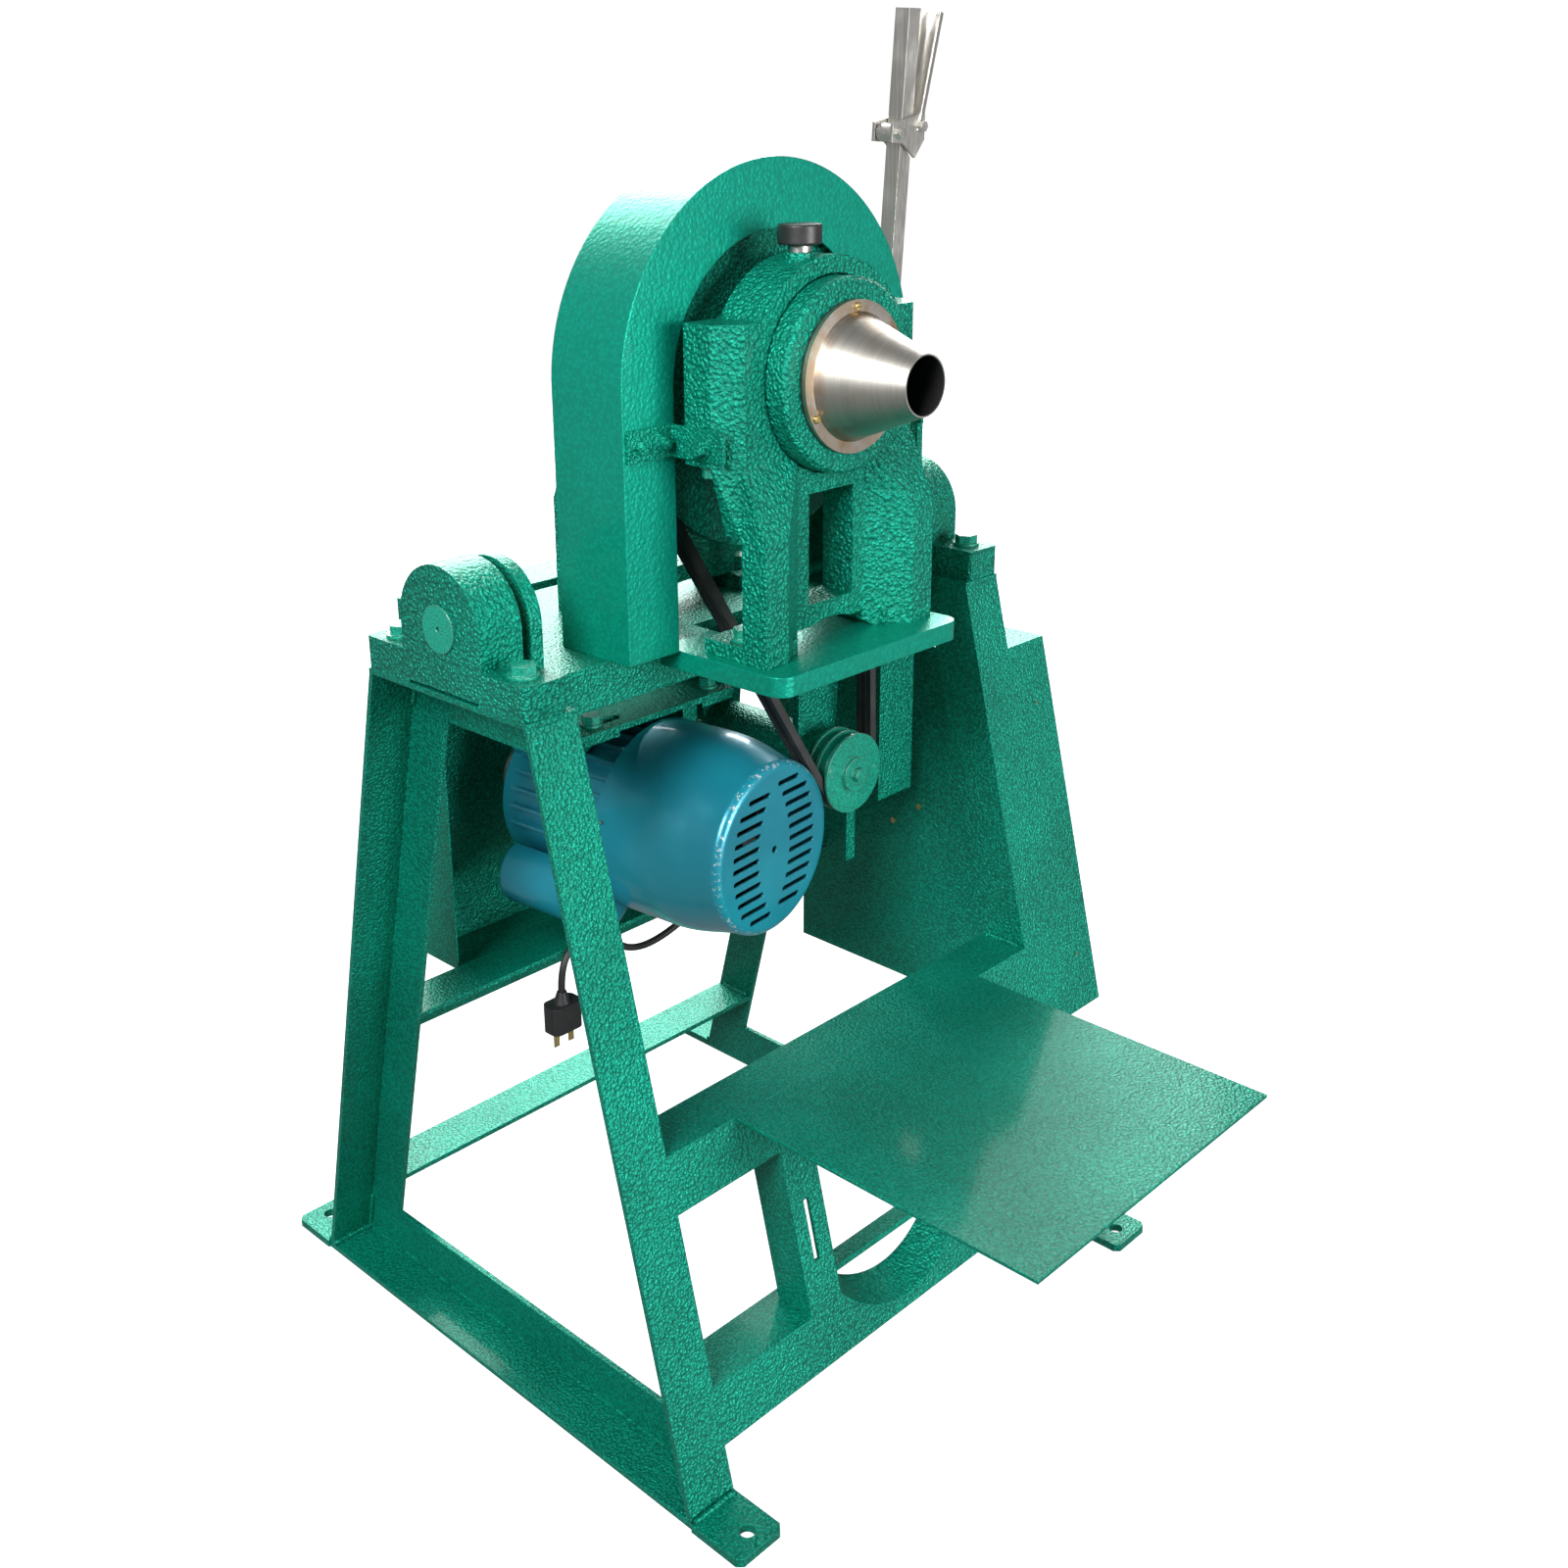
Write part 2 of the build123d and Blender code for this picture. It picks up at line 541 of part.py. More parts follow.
def pedestal():
    """The lower half: half housing with side lugs, splayed front legs, a web with a window, and foot pads."""
    y0, y1 = HOUSING_FRONT_Y, HOUSING_FRONT_Y + HOUSING_L
    half = prism_z(housing_outline(), LUG_LOW, SPINDLE_Z)
    half += rod_y(0, SPINDLE_Z, HOUSING_R, y0, y1) & block((-300, 300), (-300, 0), (0, SPINDLE_Z))
    cheeks = prism_y([(-LEG_OUT_X, KNEE_Z), (LEG_OUT_X, KNEE_Z), (HOUSING_HALF_X, LUG_LOW), (-HOUSING_HALF_X, LUG_LOW)],
                     y0, y0 + CHEEK_T) & prism_z(housing_outline(), KNEE_Z, LUG_LOW)
    web = block((-62, 62), (y0, y1 - 14), (DECK_TOP + 14, LUG_LOW))
    window = block((-WINDOW_HALF_X, WINDOW_HALF_X), (y0 - 40, y1 + 40), (WINDOW_LOW, WINDOW_HIGH))
    arch = rod_y(0, DECK_TOP + ARCH_H - ARCH_R, ARCH_R, y0 - 40, y1 + 40)
    leg_back = LEG_FRONT_Y + LEG_DEPTH
    wing = [(-42, y0), (-LEG_IN_X, LEG_FRONT_Y), (-LEG_OUT_X, LEG_FRONT_Y), (-LEG_OUT_X, leg_back), (-66, leg_back),
            (-60, y0 + 14), (-40, y0 + 14)]
    knee = [(-42, y0), (-LEG_IN_X, LEG_FRONT_Y), (-LEG_OUT_X, LEG_FRONT_Y), (-LEG_OUT_X, y0 + CHEEK_T),
            (-42, y0 + CHEEK_T)]
    shoulder = prism_z(knee, KNEE_Z, LUG_LOW) & shoulder_slope()
    pad = block((-LEG_OUT_X + 1, -56), (LEG_FRONT_Y + 12, FOOT_PAD_BACK_Y), (DECK_TOP, DECK_TOP + FOOT_PAD_T))
    shape = half + cheeks + web
    for extra in left_right([prism_z(wing, DECK_TOP, KNEE_Z), pad, shoulder]):
        shape += extra
    shape -= window
    shape -= arch
    shape -= housing_bore()
    for hole in left_right([cap_bolt_hole()]):
        shape -= hole
    for x in (-PEDESTAL_BOLT[0], PEDESTAL_BOLT[0]):
        shape -= rod_z(x, PEDESTAL_BOLT[1], BOLT_AF * 0.27 + 0.5, DECK_TOP - 1, DECK_TOP + FOOT_PAD_T + 1)
    return shape


def housing_bore():
    """The bearing's seat, wider in front for the collar."""
    y0 = HOUSING_FRONT_Y
    return (rod_y(0, SPINDLE_Z, BEARING_R, y0 - 60, y0 + HOUSING_L + 60)
            + rod_y(0, SPINDLE_Z, COLLAR_RECESS_R, y0 - 60, y0 + COLLAR_RECESS))


def cap_bolt_hole():
    return rod_z(CAP_BOLT[0], CAP_BOLT[1], CAP_BOLT_AF * 0.27 + 0.5, LUG_LOW - 1, LUG_LOW + CAP_BOLT_L + 2)


def shoulder_slope():
    """Sloping face between the leg's front and the housing's front, above the knee."""
    y0 = HOUSING_FRONT_Y
    return prism_x([(LEG_FRONT_Y, KNEE_Z), (LEG_FRONT_Y + LEG_DEPTH, KNEE_Z), (y0 + CHEEK_T, LUG_LOW), (y0, LUG_LOW)],
                   -LEG_OUT_X, LEG_OUT_X)


def pedestal_cap():
    """The upper half of the housing, bolted down on the split line."""
    y0, y1 = HOUSING_FRONT_Y, HOUSING_FRONT_Y + HOUSING_L
    cap = prism_z(housing_outline(), SPINDLE_Z, LUG_TOP)
    dome = rod_y(0, SPINDLE_Z, HOUSING_R, y0, y1) & block((-300, 300), (-300, 0), (SPINDLE_Z, 1200))
    boss = rod_z(CUP_X, CUP_Y, 13, SPINDLE_Z + 60, CUP_SEAT_Z)
    shape = cap + dome + boss - housing_bore()
    for hole in left_right([cap_bolt_hole()]):
        shape -= hole
    return shape


def bearing():
    """A plain bearing ring in each housing, which the trunnion turns in."""
    y0, y1 = HOUSING_FRONT_Y + COLLAR_RECESS + 1, HOUSING_FRONT_Y + HOUSING_L - 2
    return rod_y(0, SPINDLE_Z, BEARING_R, y0, y1) - rod_y(0, SPINDLE_Z, TRUNNION_R + RUN_FIT, y0 - 1, y1 + 1)


def pedestal_bolts():
    z = DECK_TOP + FOOT_PAD_T
    front = [bolt_down(x, PEDESTAL_BOLT[1], z, FOOT_PAD_T + SHELF_T - 2) for x in (-PEDESTAL_BOLT[0], PEDESTAL_BOLT[0])]
    back = [bolt_down(x, 2 * PLANE_Y - PEDESTAL_BOLT[1], z, FOOT_PAD_T) for x in (-PEDESTAL_BOLT[0], PEDESTAL_BOLT[0])]
    return group(front + back)


def cap_bolts():
    """Bolts up through the side lugs into the caps."""
    bolt = bolt_down(CAP_BOLT[0], CAP_BOLT[1], -LUG_LOW, CAP_BOLT_L, CAP_BOLT_AF)
    front = left_right([mirror(bolt, about=Plane.XY)])
    return group(front + [to_back(bolt) for bolt in front])


def grease_cup():
    """Stem and threaded neck of the grease cup."""
    stem = rod_z(CUP_X, CUP_Y, 6, CUP_SEAT_Z, CUP_TOP - 8)
    return stem + rod_z(CUP_X, CUP_Y, 9.5, CUP_SEAT_Z, CUP_SEAT_Z + 5)


def grease_cap():
    """The cup's black screw cap."""
    cap = rod_z(CUP_X, CUP_Y, CUP_R, CUP_TOP - 16, CUP_TOP)
    cap = fillet(cap.edges().filter_by(GeomType.CIRCLE), 2)
    return cap - rod_z(CUP_X, CUP_Y, 6 + RUN_FIT, CUP_TOP - 30, CUP_TOP - 6)


# ---------------------------------------------------------------- belt guard
def arch_outline(r, low):
    """A half-round arch on straight legs, in the (x, z) plane."""
    arch = Circle(r) & Pos(0, r) * Rectangle(2 * r, 2 * r)
    legs = Pos(0, (low - GUARD_Z) / 2) * Rectangle(2 * r, GUARD_Z - low)
    return Plane.XZ * (Pos(0, GUARD_Z) * arch + Pos(0, GUARD_Z) * legs)


def along_y(face, y0, y1):
    return Pos(0, y0, 0) * extrude(face, amount=y1 - y0, dir=(0, 1, 0))


def belt_guard():
    """Arched sheet cover on legs, open round the bearing in front and behind."""
    outer = along_y(arch_outline(GUARD_R, DECK_TOP), GUARD_FRONT_Y, GUARD_BACK_Y)
    inner = along_y(arch_outline(GUARD_R - GUARD_T, DECK_TOP - 5), GUARD_FRONT_Y + GUARD_T, GUARD_BACK_Y - GUARD_T)
    opening = along_y(arch_outline(GUARD_WINDOW_R, DECK_TOP - 5), GUARD_FRONT_Y - 5, GUARD_BACK_Y + 5)
    return outer - inner - opening


def guard_straps():
    """Angle brackets that tie the guard's front to the sides of the bearing housing."""
    face, side, t = GUARD_FRONT_Y, -HOUSING_HALF_X, STRAP_T
    mid = (STRAP_Z[0] + STRAP_Z[1]) / 2
    strap = block((STRAP_END_X, side), (face - t, face), STRAP_Z) + block((side - t, side), (STRAP_FRONT_Y, face), STRAP_Z)
    washer_x = side - t - WASHER_T
    bolt = extrude(RegularPolygon(BOLT_AF / 2 - 1, 6, major_radius=False), amount=BOLT_HEAD)
    strap += Pos(washer_x - BOLT_HEAD, STRAP_BOLT_Y, mid) * Rot(0, 90, 0) * bolt
    strap += rod_x(STRAP_BOLT_Y, mid, STRAP_WASHER_R, washer_x, side - t)
    for x in STRAP_STUD_X:
        strap += rod_y(x, mid, 8, face - t - 1.5, face - t) + hex_y(x, face - t - 7, face - t - 1.5, mid, 10)
        strap += rod_y(x, mid, 3, face - t - 9, face - t)
    return group(left_right([strap]))


# ---------------------------------------------------------------- turning spindle
def groove_cuts(r, y_front, count, depth=GROOVE_DEPTH):
    """Tapered grooves; y_front is the front face of the pulley, with half a pitch before the first groove."""
    cuts = []
    for i in range(count):
        y = y_front + GROOVE_PITCH * (i + 0.5) + 2
        cuts.append([(r + 1, y - 5.4), (r - depth, y - 3.6), (r - depth, y + 3.6), (r + 1, y + 5.4)])
    return cuts


def grooved_wheel(x, z, r, y_front, length, bore, count=GROOVES):
    wheel = turned_y([(bore, y_front), (r, y_front), (r, y_front + length), (bore, y_front + length)], x, z)
    for cut in groove_cuts(r, y_front, count):
        wheel -= turned_y(cut, x, z)
    return wheel


def mill_drum():
    """The hollow drum with its two hollow trunnions; the inside is clear from end to end."""
    back = 2 * PLANE_Y - HOUSING_FRONT_Y + 8
    front = HOUSING_FRONT_Y - 4
    outer = [(FEED_BORE_R, front), (TRUNNION_R, front), (TRUNNION_R, DRUM_FRONT_Y), (DRUM_R, DRUM_FRONT_Y),
             (DRUM_R, DRUM_BACK_Y), (TRUNNION_R, DRUM_BACK_Y), (TRUNNION_R, back), (FEED_BORE_R, back),
             (FEED_BORE_R, DRUM_BACK_Y - DRUM_WALL), (DRUM_R - DRUM_WALL, DRUM_BACK_Y - DRUM_WALL),
             (DRUM_R - DRUM_WALL, DRUM_FRONT_Y + DRUM_WALL), (FEED_BORE_R, DRUM_FRONT_Y + DRUM_WALL)]
    return turned_y(outer, 0, SPINDLE_Z)


def big_pulley():
    return grooved_wheel(0, SPINDLE_Z, PULLEY_R, DRUM_FRONT_Y, SMALL_PULLEY_L, DRUM_R)


def spout_collar():
    """The round flange on the trunnion's front end that carries the spout."""
    front = COLLAR_FRONT_Y
    ring = turned_y([(TRUNNION_R, front + COLLAR_L), (COLLAR_R, front + COLLAR_L), (COLLAR_R, front + 3),
                     (COLLAR_R - 3, front), (FEED_BORE_R, front), (FEED_BORE_R, front + 16), (TRUNNION_R, front + 16)],
                    0, SPINDLE_Z)
    return ring


def spout_gasket():
    return turned_y([(CONE_BASE_R - 4, COLLAR_FRONT_Y), (CONE_FLANGE_R, COLLAR_FRONT_Y),
                     (CONE_FLANGE_R, COLLAR_FRONT_Y - 2), (CONE_BASE_R - 4, COLLAR_FRONT_Y - 2)], 0, SPINDLE_Z)


def spout_cone():
    """Thin steel cone with a flat flange."""
    back = COLLAR_FRONT_Y - 2
    front = CONE_FLANGE_Y
    w = CONE_WALL
    outline = [(CONE_BASE_R - w, back), (CONE_FLANGE_R, back), (CONE_FLANGE_R, front), (CONE_BASE_R + 2, front),
               (CONE_BASE_R, front - 3), (CONE_TIP_R, CONE_TIP_Y), (CONE_TIP_R - w, CONE_TIP_Y),
               (CONE_BASE_R - w, front - 3)]
    return turned_y(outline, 0, SPINDLE_Z)


def spout_screws():
    screws = []
    for angle in (90, 210, 330):
        x = CONE_SCREW_R * cos(radians(angle))
        z = SPINDLE_Z + CONE_SCREW_R * sin(radians(angle))
        head = rod_y(x, z, 3.6, CONE_FLANGE_Y - 2.6, CONE_FLANGE_Y)
        head = chamfer(head.edges().filter_by(GeomType.CIRCLE).sort_by(Axis.Y)[:1], 1.0)
        slot = block((x - 5, x + 5), (CONE_FLANGE_Y - 4, CONE_FLANGE_Y - 1.6), (z - 0.5, z + 0.5))
        screws.append(head - slot)
    return group(screws)


# ---------------------------------------------------------------- countershaft
def counter_shaft():
    y0 = SMALL_PULLEY_FRONT_Y - 1
    return rod_y(COUNTER_X, COUNTER_Z, COUNTER_SHAFT_R, y0, SECOND_Y[1] + 4)


def small_pulley():
    """Two-groove pulley with a hub and a clamping bolt on the shaft's end."""
    y0 = SMALL_PULLEY_FRONT_Y
    wheel = grooved_wheel(COUNTER_X, COUNTER_Z, SMALL_PULLEY_R, y0, SMALL_PULLEY_L, COUNTER_SHAFT_R)
    washer = rod_y(COUNTER_X, COUNTER_Z, 17, y0 - 4, y0 - 1) + (rod_y(COUNTER_X, COUNTER_Z, 17, y0 - 1, y0)
                                                               - rod_y(COUNTER_X, COUNTER_Z, COUNTER_SHAFT_R, y0 - 9, y0))
    return wheel + washer + hex_y(COUNTER_X, y0 - 10, y0 - 4, COUNTER_Z, 13)


def second_pulley():
    return grooved_wheel(COUNTER_X, COUNTER_Z, SECOND_PULLEY_R, SECOND_Y[0], SECOND_Y[1] - SECOND_Y[0],
                         COUNTER_SHAFT_R, 1)


def counter_housing():
    """Tube housing with a bearing at each end, hung under the deck by two webs."""
    y0, y1 = COUNTER_HOUSE
    top = DECK_TOP - DECK_T
    tube = rod_y(COUNTER_X, COUNTER_Z, COUNTER_HOUSE_R, y0, y1)
    webs = []
    for y in (y0 + 14, y1 - 40):
        web = prism_y([(COUNTER_X - 26, COUNTER_Z), (COUNTER_X + 26, COUNTER_Z), (COUNTER_X + 40, top - 6),
                       (COUNTER_X - 26, top - 6)], y, y + 8)
        flange = block((COUNTER_X - 26, COUNTER_X + 45), (y - 10, y + 20), (top - 6, top))
        webs.append(web + flange)
    bore = rod_y(COUNTER_X, COUNTER_Z, COUNTER_SHAFT_R + 6, y0 - 1, y1 + 1)
    tie_x = COUNTER_X + COUNTER_HOUSE_R
    tie = block((tie_x - 2, tie_x + 11), (y0, y0 + 5), (COUNTER_Z - 115, COUNTER_Z + 5))
    return tube + webs[0] + webs[1] + tie - bore


def counter_bearings():
    y0, y1 = COUNTER_HOUSE
    ring = [rod_y(COUNTER_X, COUNTER_Z, COUNTER_SHAFT_R + 6, a, a + 15)
            - rod_y(COUNTER_X, COUNTER_Z, COUNTER_SHAFT_R + RUN_FIT, a - 1, a + 16) for a in (y0, y1 - 15)]
    return group(ring)


def rim_point(centre, r, way):
    return centre[0] + r * way[0], centre[1] + r * way[1]


def tangent_loop(c1, r1, c2, r2):
    """The closed line of an open belt round two circles, in the (x, z) plane."""
    dx, dz = c2[0] - c1[0], c2[1] - c1[1]
    span = hypot(dx, dz)
    ux, uz = dx / span, dz / span
    k = (r1 - r2) / span
    h = (1 - k * k) ** 0.5
    na = (k * ux - h * uz, k * uz + h * ux)
    nb = (k * ux + h * uz, k * uz - h * ux)
    a1, a2 = rim_point(c1, r1, na), rim_point(c2, r2, na)
    b1, b2 = rim_point(c1, r1, nb), rim_point(c2, r2, nb)
    far2 = rim_point(c2, r2, (ux, uz))
    far1 = rim_point(c1, r1, (-ux, -uz))
    edges = [Line(a1, a2), ThreePointArc(a2, far2, b2), Line(b2, b1), ThreePointArc(b1, far1, a1)]
    return Plane.XZ * make_face(edges)


def belt(c1, r1, c2, r2, y):
    """One belt, its inner side just clear of the groove floors."""
    low = GROOVE_DEPTH - BELT_GAP
    outer = tangent_loop(c1, r1 - low + BELT_T, c2, r2 - low + BELT_T)
    inner = tangent_loop(c1, r1 - low, c2, r2 - low)
    w = BELT_W / 2 - 1.4
    return along_y(outer, y - w, y + w) - along_y(inner, y - w - 1, y + w + 1)


def front_belts():
    belts = []
    for i in range(GROOVES):
        y = DRUM_FRONT_Y + GROOVE_PITCH * (i + 0.5) + 2
        belts.append(belt((0, SPINDLE_Z), PULLEY_R, (COUNTER_X, COUNTER_Z), SMALL_PULLEY_R, y))
    return belts


def rear_belt():
    y = SECOND_Y[0] + GROOVE_PITCH * 0.5 + 2
    x, _ = motor_point(y)
    return belt((COUNTER_X, COUNTER_Z), SECOND_PULLEY_R, (x, MOTOR_Z), MOTOR_PULLEY_R, y)


# ---------------------------------------------------------------- motor
MOTOR_AT = Pos(MOTOR_X, MOTOR_FACE_Y, MOTOR_Z) * Rot(0, 0, MOTOR_YAW)
BODY_START = FAN_COVER_L - 4
BODY_END = BODY_START + MOTOR_BODY_L
BELL_END = BODY_END + BELL_L


def motor_point(y):
    """Where the motor's axis crosses a plane of constant Y: its x, and the distance along the axis."""
    along = (y - MOTOR_FACE_Y) / cos(radians(MOTOR_YAW))
    return MOTOR_X - along * sin(radians(MOTOR_YAW)), along


def vent_rows():
    """Half widths and heights of the staggered vents: short rows at the top and bottom, a lens left blank."""
    rows = []
    for i in range(VENTS):
        z = (i - (VENTS - 1) / 2) * VENT_PITCH
        outer = (FAN_FACE_R - FAN_FACE_ROUND - 5) ** 2 - z * z
        if outer > 0:
            inner = max(3.5, 23.0 - 0.0047 * z * z)
            rows.append((z, inner, min(outer ** 0.5, inner + VENT_L)))
    return rows


def swollen(inset):
    """The fan cover's round form, all of it set in by inset."""
    face = FAN_FACE_R - FAN_FACE_ROUND
    full = FAN_COVER_R - inset
    end = FAN_COVER_L + inset
    side = Spline((FAN_FACE_R - inset, FAN_FACE_ROUND), (full, FAN_SWELL_L), tangents=((0.10, 1), (0, 1)))
    corner = (FAN_FACE_R - inset - 0.29 * FAN_FACE_ROUND, inset + 0.29 * (FAN_FACE_ROUND - inset))
    edge = ThreePointArc((face, inset), corner, (FAN_FACE_R - inset, FAN_FACE_ROUND))
    outline = [Line((0, inset), (face, inset)), edge, side, Line((full, FAN_SWELL_L), (full, end)),
               Line((full, end), (0, end)), Line((0, end), (0, inset))]
    return revolve(make_face(outline), Axis.Y)


def fan_cover():
    """The smooth cover over the cooling fan, swelling behind its vented face."""
    shape = swollen(0) - swollen(2) - rod_y(0, 0, 3.5, -1, 5)
    for z, near, far in vent_rows():
        for side in (-1, 1):
            shift = VENT_PITCH / 4 * side
            slot = extrude(SlotOverall(far - near, VENT_W), amount=6)
            slot = Pos(side * (near + far) / 2, 4, z + shift) * Rot(90, 0, 0) * slot
            shape -= slot
    return MOTOR_AT * shape


def motor_body():
    """Finned body with its two feet at the top and the drive-end shield's register."""
    core = rod_y(0, 0, MOTOR_BODY_R, BODY_START, BODY_END)
    fin = block((-1.6, 1.6), (BODY_START + 5, BODY_END - 5), (MOTOR_BODY_R - 2, MOTOR_BODY_R + FIN_H))
    shape = core
    for i in range(FINS):
        angle = i * 360 / FINS + 180 / FINS
        if 205 < angle < 262:
            continue
        shape += Rot(0, angle, 0) * fin
    shape -= rod_y(0, 0, MOTOR_BODY_R - 8, BODY_START - 1, BODY_END + 1)
    return MOTOR_AT * shape


def motor_feet():
    """Two slim feet over the body, bolted up under the base plate."""
    feet = []
    core = MOTOR_AT * rod_y(0, 0, MOTOR_BODY_R + FIN_H + 0.1, 0, BELL_END)
    for x0, x1 in FOOT_SPANS:
        middle = (x0 + x1) / 2
        inner = middle + (FOOT_WEB if middle < 0 else -FOOT_WEB)
        pad = block((x0, x1), (PLATE_Y[0] + 4, PLATE_Y[1] - 6), (PLATE_Z[0] - FOOT_PAD_H, PLATE_Z[0]))
        web = block(sorted((inner, middle)), (PLATE_Y[0] + 34, PLATE_Y[1] - 42), (MOTOR_Z + 62, PLATE_Z[0] - FOOT_PAD_H))
        foot = (pad + web) - core
        for y in FOOT_BOLT_Y:
            foot -= rod_z(middle, y, BOLT_AF * 0.27 + 0.5, PLATE_Z[0] - FOOT_PAD_H - 1, PLATE_Z[0] + 1)
        feet.append(foot)
    return feet


def motor_plate():
    """Slotted plate: the motor slides along X on it to tighten the rear belt."""
    plate = block(PLATE_X, PLATE_Y, PLATE_Z)
    for x0, x1 in FOOT_SPANS:
        for y in FOOT_BOLT_Y:
            slot = extrude(SlotOverall(PLATE_SLOT_L, 11), amount=20)
            plate -= Pos((x0 + x1) / 2 + 12, y, PLATE_Z[0] - 5) * slot
    return plate


def plate_hangers():
    """Flat bars that hang the motor plate from the cradle's rear beam."""
    bars = []
    for x in (PLATE_X[0], PLATE_X[1] - 8):
        bars.append(block((x, x + 8), (DECK_BACK_Y - BEAM_T - 47, DECK_BACK_Y - BEAM_T),
                          (PLATE_Z[1], DECK_TOP - DECK_T)))
    return group(bars)


def motor_bolts():
    """Bolts through the plate's slots into the motor's feet."""
    bolts = []
    for x0, x1 in FOOT_SPANS:
        for y in FOOT_BOLT_Y:
            bolts.append(bolt_down((x0 + x1) / 2, y, PLATE_Z[1], PLATE_Z[1] - PLATE_Z[0] + 6, 16))
    return group(bolts)


def motor_bell():
    """Drive-end shield with its bearing seat and fixing lugs."""
    shell = turned_y([(MOTOR_SHAFT_R + 8, BODY_END), (MOTOR_BODY_R, BODY_END), (MOTOR_BODY_R, BODY_END + 12),
                      (MOTOR_BODY_R - 22, BELL_END), (MOTOR_SHAFT_R + 8, BELL_END)], 0, 0)
    for angle in (45, 135, 225, 315):
        lug = rod_y(0, MOTOR_BODY_R + 2, 7, BODY_END, BODY_END + 10)
        shell += Rot(0, angle, 0) * lug
    return MOTOR_AT * shell


def motor_bearing():
    ring = rod_y(0, 0, MOTOR_SHAFT_R + 8, BODY_END + 4, BELL_END - 2)
    return MOTOR_AT * (ring - rod_y(0, 0, MOTOR_SHAFT_R + RUN_FIT, BODY_END, BELL_END))


def capacitor_box():
    """The smooth cover of the capacitor, low on the left side of the body."""
    start, end = FAN_COVER_L + 2, BODY_END - 1
    x, z = -74.0, -66.0
    box = rod_y(x, z, CAP_BOX_R, start, end)
    box = fillet(box.edges().filter_by(GeomType.CIRCLE), 6)
    neck = block((x - 8, -30), (start + 8, end - 8), (z - 12, z + 26))
    return MOTOR_AT * (box + neck - rod_y(0, 0, MOTOR_BODY_R + FIN_H + 0.3, start - 9, end + 9))


def motor_rotor():
    """Shaft and rotor core."""
    shaft = rod_y(0, 0, MOTOR_SHAFT_R, 30, BELL_END + MOTOR_SHAFT_L)
    core = rod_y(0, 0, 42, BODY_START + 30, BODY_END - 25)
    return MOTOR_AT * (shaft + core)


def motor_stator():
    ring = rod_y(0, 0, MOTOR_BODY_R - 8, BODY_START + 20, BODY_END - 12)
    return MOTOR_AT * (ring - rod_y(0, 0, 42.6, BODY_START, BODY_END))


def cooling_fan():
    hub = rod_y(0, 0, 20, 34, 74) - rod_y(0, 0, MOTOR_SHAFT_R, 0, 200)
    blade = block((-1.5, 1.5), (36, 70), (19, FAN_FACE_R - 14))
    for i in range(8):
        hub += Rot(0, i * 45, 0) * blade
    return MOTOR_AT * hub


def motor_pulley():
    _, middle = motor_point(SECOND_Y[0] + GROOVE_PITCH * 0.5 + 2)
    r = MOTOR_PULLEY_R
    floor = r - GROOVE_DEPTH - 0.8
    half = 8.5
    profile = [(MOTOR_SHAFT_R, middle - half - 4), (r, middle - half - 4), (r, middle - half), (floor, middle - half),
               (floor, middle + half), (r, middle + half), (r, middle + half + 4), (MOTOR_SHAFT_R, middle + half + 4)]
    return MOTOR_AT * turned_y(profile, 0, 0)


# ---------------------------------------------------------------- rear guard and cabinet
def rear_guard():
    """Sheet box round the rear belt, open towards the motor."""
    t = REAR_T
    outer = block(REAR_X, REAR_Y, REAR_Z)
    inner = block((REAR_X[0] + t, REAR_X[1] - t), (REAR_Y[0] - 1, REAR_Y[1] - t), (REAR_Z[0] + t, REAR_Z[1] - t))
    return outer - inner


def cabinet_outline(grow=0.0, low=CAB_Z[0], high=CAB_Z[1], back=CAB_BACK_Y):
    """Side view: the front leans with the legs."""
    return [(front_y(low) + grow, low), (front_y(high) + grow, high), (back, high), (back, low)]


def cabinet_body():
    """Sheet cabinet behind the right legs, stepped forward outside them."""
    inside_legs = prism_x(cabinet_outline(FACE_W + 3), CAB_X[0] + CAB_T, HALF_W)
    outside = prism_x(cabinet_outline(), HALF_W, CAB_X[1])
    shell = inside_legs + outside
    t = CAB_T
    low, high = CAB_Z[0] + t, CAB_Z[1] - t
    hollow_in = prism_x(cabinet_outline(FACE_W + 3 + t, low, high, CAB_BACK_Y - t), CAB_X[0] - 5, HALF_W + t)
    hollow_out = prism_x(cabinet_outline(t, low, high, CAB_BACK_Y - t), HALF_W + t, CAB_X[1] - t)
    shell = shell - hollow_in - hollow_out
    for z in BUTTON_Z:
        shell -= rod_x(BUTTON_Y, z, BUTTON_R + 1.5, CAB_X[1] - 5, CAB_X[1] + 5)
    return shell


def cabinet_panel():
    """The flat lid on the cabinet's inner side."""
    return prism_x(cabinet_outline(FACE_W + 3), CAB_X[0], CAB_X[0] + CAB_T)


def cabinet_screws():
    screws = []
    for y, z in ((-51, 413), (-17, 388)):
        screws.append(rod_x(y, z, 3, CAB_X[0] - 2, CAB_X[0]))
    return group(screws)


def button(index):
    """A round push button with its stem; it slides in the collar."""
    z = BUTTON_Z[index]
    face = CAB_X[1]
    cap = rod_x(BUTTON_Y, z, BUTTON_R, face + BUTTON_TRAVEL + 3.4, face + BUTTON_TRAVEL + 8)
    cap = fillet(cap.edges().filter_by(GeomType.CIRCLE).sort_by(Axis.X)[-1:], 1.5)
    return cap + rod_x(BUTTON_Y, z, BUTTON_R - 3, face - 8, face + BUTTON_TRAVEL + 4)


